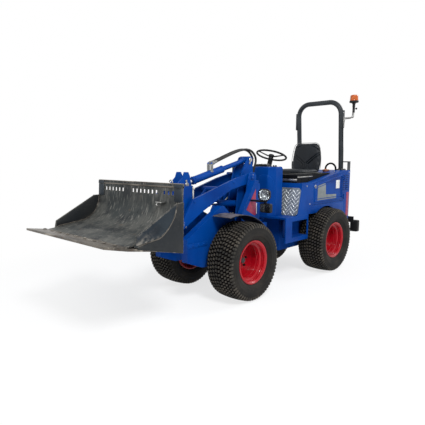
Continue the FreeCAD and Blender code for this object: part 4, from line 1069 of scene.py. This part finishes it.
def make_lamps():
    """Headlights in rounded housings, with their signal blocks and brackets."""
    front = "front_chassis"
    y, z = 402.5, 958.0
    d = Drawing()
    d.stack(((386, 50), (388, 42), (400, 30), (420, 14), (436, 4), (446, 1), (454, 0), (458, 2), (458, 7), (452, 8),
             (446, 10)), (y, z), (70, 60), 2.9, 56, caps=(True, False))
    d.box((395, 215.4, 880), (425, 400, 900.5), 2, 1)
    d.tube([(410, 402, 890), (410, 402, 905)], 9)
    d.stack(((396, 5), (399, 0), (432, 0), (436, 3)), (405, 827), (60, 45), 8, 48)
    d.box((400, 370, 868), (408, 400, 884), 1)
    for k in range(5):
        d.box((384, 372 + 14 * k, 925), (395, 376 + 14 * k, 990), 1)
    d.show("headlight_housings", [m.plastic, m.blue], front, "black_plastic", sides=True, replaces=("headlights",))

    d = Drawing()
    d.loft([oval((x, y, z), Y, Z, half_y, half_z, 2.9 - (448 - x) * 0.02, 56)
            for x, half_y, half_z in ((448, 61, 51), (440, 57, 47), (428, 46, 37), (418, 30, 25), (414, 12, 10))],
           caps=(False, True))
    d.show("headlight_reflectors", [m.mirror], front, "chrome_rod", sides=True)
    d = Drawing()
    d.lathe([(0, 9), (6, 9), (8, 12), (16, 13), (20, 10), (21, 0)], (412, y, z), X, 28)
    for k in range(4):
        step = -33 + 22 * k
        d.box((436, y + step - 1, z - 34), (442, y + step + 1, z + 34), 0.8)
    d.show("headlight_bulbs", [m.plastic], front, "black_plastic", sides=True)
    d = Drawing()
    d.stack(((449, 0), (453, 1), (456, 6), (458, 18), (459, 36), (459.3, 50)), (y, z), (62.5, 52.5), 2.9, 56)
    d.show("headlight_lenses", [m.clear], front, sides=True)
    for name, low, high, material in (("clear", 347, 402, m.frosted), ("dark", 406, 462, m.smoked)):
        d = Drawing()
        d.stack(((434, 0), (439, 0), (441, 3), (442, 9)), ((low + high) / 2, 827), ((high - low) / 2, 36), 8, 40)
        for k in range(6):
            rib = 800 + 9 * k
            d.box((441, low + 9, rib), (443, high - 9, rib + 3), 0.7)
        d.show("signal_lens_" + name, [material], front, sides=True)


def pin_head(d, place, side, radius, flag):
    """End of a hinge pin: chamfered head, grease nipple, and a flag plate with its bolt."""
    x, y, z = place
    d.lathe([(0, radius), (4, radius), (7, radius - 3), (7, 0)], place, (0, side, 0), 28)
    d.lathe([(0, 4), (4, 4), (5, 2.5), (8, 3.5), (10, 2), (10, 0)], (x, y + side * 7, z), (0, side, 0), 10)
    fx, fz = flag
    (x0, z0), (x1, z1) = ((x + fx * away, z + fz * away) for away in (radius * 0.6, radius + 24))
    sx, sz = -fz * 9, fx * 9
    outline = [(x0 + sx, z0 + sz), (x1 + sx, z1 + sz), (x1 - sx, z1 - sz), (x0 - sx, z0 - sz)]
    d.prism(outline, (y - 2, y + 4) if side > 0 else (y - 4, y + 2), 1)
    d.bolt((x + fx * (radius + 14), y + side * 4, z + fz * (radius + 14)), (0, side, 0), 5.5)


def make_pins():
    """Both ends of the hinge pins."""
    # a pin's place, half its length, its radius, its flag's direction, and whether the pin itself shows
    ends = {
        "front_chassis": [(BOOM_PIN, 146, 17, (-0.5, 0.86), False), (TILT_PINS[0], 66, 23, (0.3, -0.95), False),
                          (LIFT_PINS[0], 66, 23, (-0.5, 0.86), False)],
        "bucket": [(BUCKET_PIN, 131, 24, (-0.8, -0.6), False), (TILT_PINS[1], 55, 22, (0.2, 0.98), True)],
        "boom": [(LIFT_PINS[1], 53, 24, (-0.9, 0.43), True)],
    }
    for body, heads in ends.items():
        d = Drawing()
        for (x, z), y, radius, flag, open_pin in heads:
            if open_pin:
                d.lathe([(0, 19), (2 * y, 19)], (x, -y, z), Y, 28)
            for side in (1, -1):
                pin_head(d, (x, side * y, z), side, radius, flag)
        d.show(body + "_pins", [m.steel], body, "edge_steel")


def make_cylinder_trim():
    """Gland collars, base rings and port fittings on the lift, tilt and steering cylinders."""
    radius, inner = 36, 18.4  # the barrels' outside, and a little over the rods'
    for body, ((x0, z0), (x1, z1)), end, start in (("lift_barrel", LIFT_PINS, 500, 40),
                                                   ("tilt_barrel", TILT_PINS, 812, 380)):
        d = Drawing()
        axis = Vector((x1 - x0, 0, z1 - z0)).normalized()
        origin = Vector((x0, 0, z0))
        d.lathe([(end - 34, radius), (end - 33, radius + 1.6), (end - 8, radius + 1.6), (end - 4, radius + 1),
                 (end + 0.3, radius - 2), (end + 0.3, inner + 5), (end + 0.5, inner + 4), (end + 0.5, inner),
                 (end - 2, inner), (end - 34, inner + 12)], origin, axis, 48, closed=True)
        d.lathe([(start, radius - 1), (start + 1, radius + 1.5), (start + 12, radius + 1.5),
                 (start + 13, radius - 1)], origin, axis, 48, closed=True)
        for a in circle(4, 0.6):
            out = Y * math.cos(a) + axis.cross(Y) * math.sin(a)
            d.lathe([(0, 4.5), (4, 4.5), (4, 0)], origin + axis * (end - 20) + out * (radius + 3), out, 12)
        d.show(body + "_collars", [m.blue], body, "blue_paint")
    d = Drawing()
    (x0, y0), (x1, y1) = (-360.0, -120.0), (200.0, -80.0)
    axis = Vector((x1 - x0, y1 - y0, 0)).normalized()
    origin = Vector((x0, y0, 470))
    d.lathe([(308, 28), (309, 31), (336, 31), (342, 26), (346, 20), (346, 14.4), (308, 14.4)], origin, axis, 36,
            closed=True)
    for along in (70, 290):
        d.lathe([(0, 10), (9, 10), (10, 11.5), (16, 11.5), (16, 0)], origin + axis * along + Z * 24, Z, 6)
    d.show("steering_barrel_collars", [m.black], "steering_barrel", "black_paint")

    # elbows of the two tilt hoses: hex seats, tube bend, swivel nuts and crimped sleeves
    first, second = (Vector((x, 0, z)) for x, z in HOSE_ROUTE[:2])
    back = (first - second).normalized()
    corner = first + back * 20
    d = Drawing()
    for y in (HOSE_OFFSET, -HOSE_OFFSET):
        shift = Y * y
        foot = corner + shift - Z * 82
        d.lathe([(0, 18), (14, 18), (17, 14.5), (17, 13.6)], foot, Z, 6)
        d.lathe([(17, 13.9), (60, 13.9)], foot, Z, 28)
        d.tube([foot + Z * 50, corner + shift, first + shift - back * 2], 14.1, 20)
        d.lathe([(0, 13.8), (0, 17), (14, 17), (16, 14), (16, 12.6)], first + shift + back * 4, -back, 6)
        sleeve = [(6, 13.5)]
        for k in range(4):
            sleeve += [(14 + 9 * k, 14.4), (18 + 9 * k, 13.4)]
        d.lathe(sleeve + [(50, 13.2), (52, 11.8)], first + shift, -back, 28)
    d.show("hose_elbows", [m.fitting], "tilt_barrel", "edge_steel")
    d = Drawing()
    x, z = HOSE_ROUTE[-1]
    for y in (HOSE_OFFSET, -HOSE_OFFSET):
        d.lathe([(0, 17), (13, 17), (15, 13), (15, 9.4)], (x, y, z), Z, 6)
        d.lathe([(15, 12.4), (24, 12.6), (28, 11.8), (37, 12.6), (41, 11.8), (52, 11.6), (54, 9.4)], (x, y, z), Z, 28)
        d.lathe([(0, 16), (14, 16), (14, 10), (30, 10), (30, 0)], (x, y, z - 13), (0, 0, -1), 6)
    d.show("bulkhead_fittings", [m.steel], "front_chassis", "edge_steel")


def make_hoses():
    """Two hoses swept along the CAD route, in place of the CAD hoses."""
    for name, y in (("left", HOSE_OFFSET), ("right", -HOSE_OFFSET)):
        data = bpy.data.curves.new("tilt_hose_" + name, "CURVE")
        data.dimensions = "3D"
        line = data.splines.new("NURBS")
        line.points.add(len(HOSE_ROUTE) - 1)
        for point, (x, z) in zip(line.points, HOSE_ROUTE):
            point.co = (x * 0.001 + PIVOT_X, y * 0.001, z * 0.001, 1.0)
        line.order_u = 3
        line.use_endpoint_u = True
        line.resolution_u = 16
        data.bevel_depth = 0.0115
        data.bevel_resolution = 6
        data.use_fill_caps = True
        drawn = new_object("tilt_hose_line_" + name, data)
        shape = drawn.evaluated_get(bpy.context.evaluated_depsgraph_get())
        mesh = bpy.data.meshes.new_from_object(shape)
        bpy.data.objects.remove(drawn)
        mesh.materials.clear()
        mesh.materials.append(m.hose)
        mesh.shade_smooth()
        piece = new_object("tilt_hose_" + name, mesh)
        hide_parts("tilt_hoses")
        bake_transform(piece)


def make_front_trim():
    front = "front_chassis"
    d = Drawing()
    d.prism([(336, 1000), (330, 738), (352, 732), (486, 800)], (GUSSET_SIDE, GUSSET_SIDE + 2), 0.6)
    d.show("gusset_reflectors", [m.red], front, sides=True)
    d = Drawing()
    d.box((316, GUSSET_SIDE, 748), (325, GUSSET_SIDE + 1.6, 856), 0.4)
    d.show("gusset_strips", [m.white], front, sides=True)

    d = Drawing()
    d.box((1052, 214, 529), (1300, 221, 568), 2)
    for x in (560, 980):
        for z in (430, 520):
            d.bolt((x, GUSSET_SIDE, z), Y, 8)
    for x in (1100, 1170, 1240):
        d.bolt((x, 221, 548), Y, 7)
    d.show("nose_bars", [m.blue], front, "blue_paint", sides=True)
    d = Drawing()
    for y, radius, pitch, *line in ((152.5, 4, 6, (300, 645), (425, 645)), (215.5, 4, 6, (296, 641.5), (500, 641.5)),
                                    (214, 3, 5, (341, 1084), (362, 1061), (547, 764)),
                                    (180, 3.5, 6, (500, 641), (640, 701)), (63.5, 4, 6, (146, 640), (420, 640)),
                                    (63.5, 4, 6, (280, 645), (280, 1045))):
        d.weld([(x, y, z) for x, z in line], radius, pitch)
    d.show("front_welds", [m.blue], front, "blue_paint", sides=True)

    # small box on the far side of the tower
    d = Drawing()
    d.box((214, -98, 1122), (336, -65.5, 1226), 5)
    d.box((228, -100, 1138), (322, -97, 1210), 2, 1)
    d.box((228, -66.5, 1138), (322, -63.2, 1210), 2, 1)
    for x in (224, 326):
        for z in (1131, 1217):
            d.bolt((x, -98, z), (0, -1, 0), 4, 2)
    d.show("tower_box", [m.plastic, m.stone, m.steel], front, "black_plastic")

    # hydraulic lines under the boom's pivot
    d = Drawing()
    for y, z in ((-84, 905), (-96, 893)):
        d.tube([(276, y, z), (420, y, z + 4), (470, y, z - 40), (474, y, 700), (474, y, 643)], 6, 12)
        d.lathe([(0, 11), (16, 11), (18, 8), (18, 0)], (300, y, z), X, 6)
    d.show("tower_lines", [m.steel], front, "edge_steel")
    d = Drawing()
    for y in (250, -250):
        for x, z in ((735, 795), (765, 797)):
            d.bolt((x, y, z), Z, 6)
    d.show("fender_bolts", [m.steel], front, "edge_steel")


def make_boom_trim():
    d = Drawing()
    for (x, z), profile, steps in ((BOOM_PIN, [(0, 46), (5, 46), (8, 42), (8, 21), (0, 21)], 40),
                                   (BUCKET_PIN, [(0, 38), (4, 38), (6, 35), (6, 21), (0, 21)], 36)):
        d.lathe(profile, (x, BOOM_SIDE, z), Y, steps, closed=True)
    d.weld([(x, 104, z) for x, z in half_ring(770, 1012, 31)], 4, 6)
    d.show("boom_bosses", [m.blue], "boom", "blue_paint", sides=True)
    d = Drawing()
    for x0, z0 in ((560, 1078), (1110, 928)):
        d.box((x0, BOOM_SIDE - 1, z0 - 14), (x0 + 34, BOOM_SIDE + 4, z0 + 6), 2)
    d.show("boom_clips", [m.blue], "boom", "blue_paint", sides=True)


def make_bucket_trim():
    body = "bucket"
    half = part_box("bucket_shell")[1].y * 1000
    seam = [(1740, 992), (1746, 972), (1757, 935), (1771, 893), (1797, 853), (1838, 806), (1876, 774), (1916, 752),
            (2010, 738), (2110, 723)]
    d = Drawing()
    d.weld([(x, half + 0.5, z) for x, z in seam], 4.2, 6)
    inner = [(1904 + 218 * math.cos(a), 985 + 218 * math.sin(a))
             for a in (math.radians(turn) for turn in range(180, 271, 15))] + [(2110, 744)]
    d.weld([(x + 4, half - 12, z + 3) for x, z in inner], 4.5, 6)
    d.weld([(1682, half - 70, 1119), (1682, half - 12, 1119)], 4, 6)
    d.show("bucket_welds", [m.edge], body, "edge_steel", sides=True)

    d = Drawing()
    cheek = [(1746, 984), (2122, 790), (2134, 744), (2128, 728)] + [(x + 5, z + 4) for x, z in reversed(seam[1:-1])]
    d.prism(cheek, (half, half + 1.6), 0.5)
    d.show("bucket_cheeks", [m.cheek], body, "worn_steel", sides=True)
    d = Drawing()
    skin = [(1692, 611), (1679, 988), (1737, 988)] + [(x - 3, z - 3) for x, z in seam[1:]] + [(2124, 700)]
    d.prism(skin, (half, half + 1.2), 0.4)
    inside = [(1739, 988), (2120, 791), (2128, 748)] + [(x + 2, z + 2) for x, z in reversed(inner)]
    d.prism(inside, (half - 11.2, half - 10), 0.4)
    d.show("bucket_side_skins", [m.skin], body, "worn_steel", sides=True)

    # end bars on the back plate, lifting eye and hook, bolts of the cutting edge, strips along the top rail
    d = Drawing()
    d.prism([(1678, 1094), (1685, 989), (1693, 989), (1686, 1094)], (half - 94, half - 10.3), 1.5)
    d.prism([(1679, 1123), (1682, 1096), (1690, 1096), (1687, 1123)], (half - 94, half - 10.3), 1.5)
    d.show("bucket_end_bars", [m.cheek], body, "worn_steel", sides=True)
    d = Drawing()
    d.ring_tube(oval((1676, 424, 1139), Y, Z, 17, 14, 2, 28), 4.5)
    d.box((1685, 300, 975), (1730, 368, 985), 2)
    d.tube([(1712, 322, 976), (1734, 322, 974), (1744, 328, 962), (1736, 334, 950), (1724, 336, 952)], 5, 10)
    d.show("bucket_fittings", [m.steel], body, "edge_steel")
    d = Drawing()
    for k in range(9):
        y = -500 + 125 * k
        d.lathe([(0, 15), (3, 15), (6, 11), (6, 7), (3, 6), (3, 0)], (2262, y, 743), (-0.09, 0, 1), 20)
    d.show("cutting_edge_bolts", [m.edge], body, "edge_steel")
    d = Drawing()
    d.prism([(1663, 1094), (1682, 1094), (1684, 1106), (1663, 1106)], (-half + 10, half - 10), 1.5)
    d.box((1660, -half + 8, 1124), (1684, half - 8, 1129), 1.5)
    d.show("bucket_rail_strip", [m.edge], body, "worn_steel")

    # coupler: lock bars, pivot bosses, welds and bolts
    d = Drawing()
    d.box((1092, COUPLER_SIDE, 934), (1106, COUPLER_SIDE + 8, 1062), 3)
    d.lathe([(0, 9), (10, 9), (12, 6), (12, 0)], (1099, COUPLER_SIDE + 8, 1040), Y, 20)
    d.show("coupler_lock_bars", [m.zinc], body, "edge_steel", sides=True)
    d = Drawing()
    d.lathe([(0, 34), (4, 34), (6, 30), (6, 0)], (1500, COUPLER_SIDE, 760), Y, 32)
    d.weld([(1642, COUPLER_SIDE + 1, 646), (1642, COUPLER_SIDE + 1, 874)], 4, 6)
    for x, z in ((1600, 700), (1600, 820), (1400, 940)):
        d.bolt((x, COUPLER_SIDE, z), Y, 8)
    d.show("coupler_trim", [m.blue], body, "blue_paint", sides=True)


def main():
    make_camera()
    make_studio()
    make_floor()
    carried = {
        m.blue: ("rear_frame", "articulation_lugs", "frame_outriggers", "engine_cover", "left_service_door",
                 "right_service_door", "console", "front_frame", "boom_tower", "boom_arms", "coupler",
                 "lift_cylinder_barrel", "tilt_cylinder_barrel", "platform", "front_wheel_motors",
                 "rear_wheel_motors"),
        m.red_paint: ("front_left_rim", "front_right_rim", "rear_left_rim", "rear_right_rim"),
        m.black: ("seat_deck", "steering_column", "steering_cylinder_barrel", "hood_handle"),
        m.charcoal: ("rops_frame",),
        m.fender: ("front_fenders",),
        m.bucket: ("bucket_shell",),
        m.edge: ("cutting_edge",),
        m.rod: ("lift_cylinder_rod", "tilt_cylinder_rod", "steering_cylinder_rod"),
        m.checker: ("kick_plates",),
        m.iron: ("engine_block",),
        m.plastic: ("rear_grille", "headlights", "rear_lamps", "control_levers", "steering_wheel", "tilt_hoses"),
        m.amber: ("beacon",),
        m.vinyl: ("seat_cushion", "seat_backrest"),
        m.rubber: ("front_left_tyre", "front_right_tyre", "rear_left_tyre", "rear_right_tyre"),
    }
    for material, names in carried.items():
        for name in names:
            for slot in nodes[name].material_slots:
                slot.material = material
    make_wheels()
    make_seat()
    make_body_trim()
    make_kick_lozenges()
    make_console()
    make_beacon()
    make_lamps()
    make_pins()
    make_cylinder_trim()
    make_hoses()
    make_front_trim()
    make_boom_trim()
    make_bucket_trim()


main()
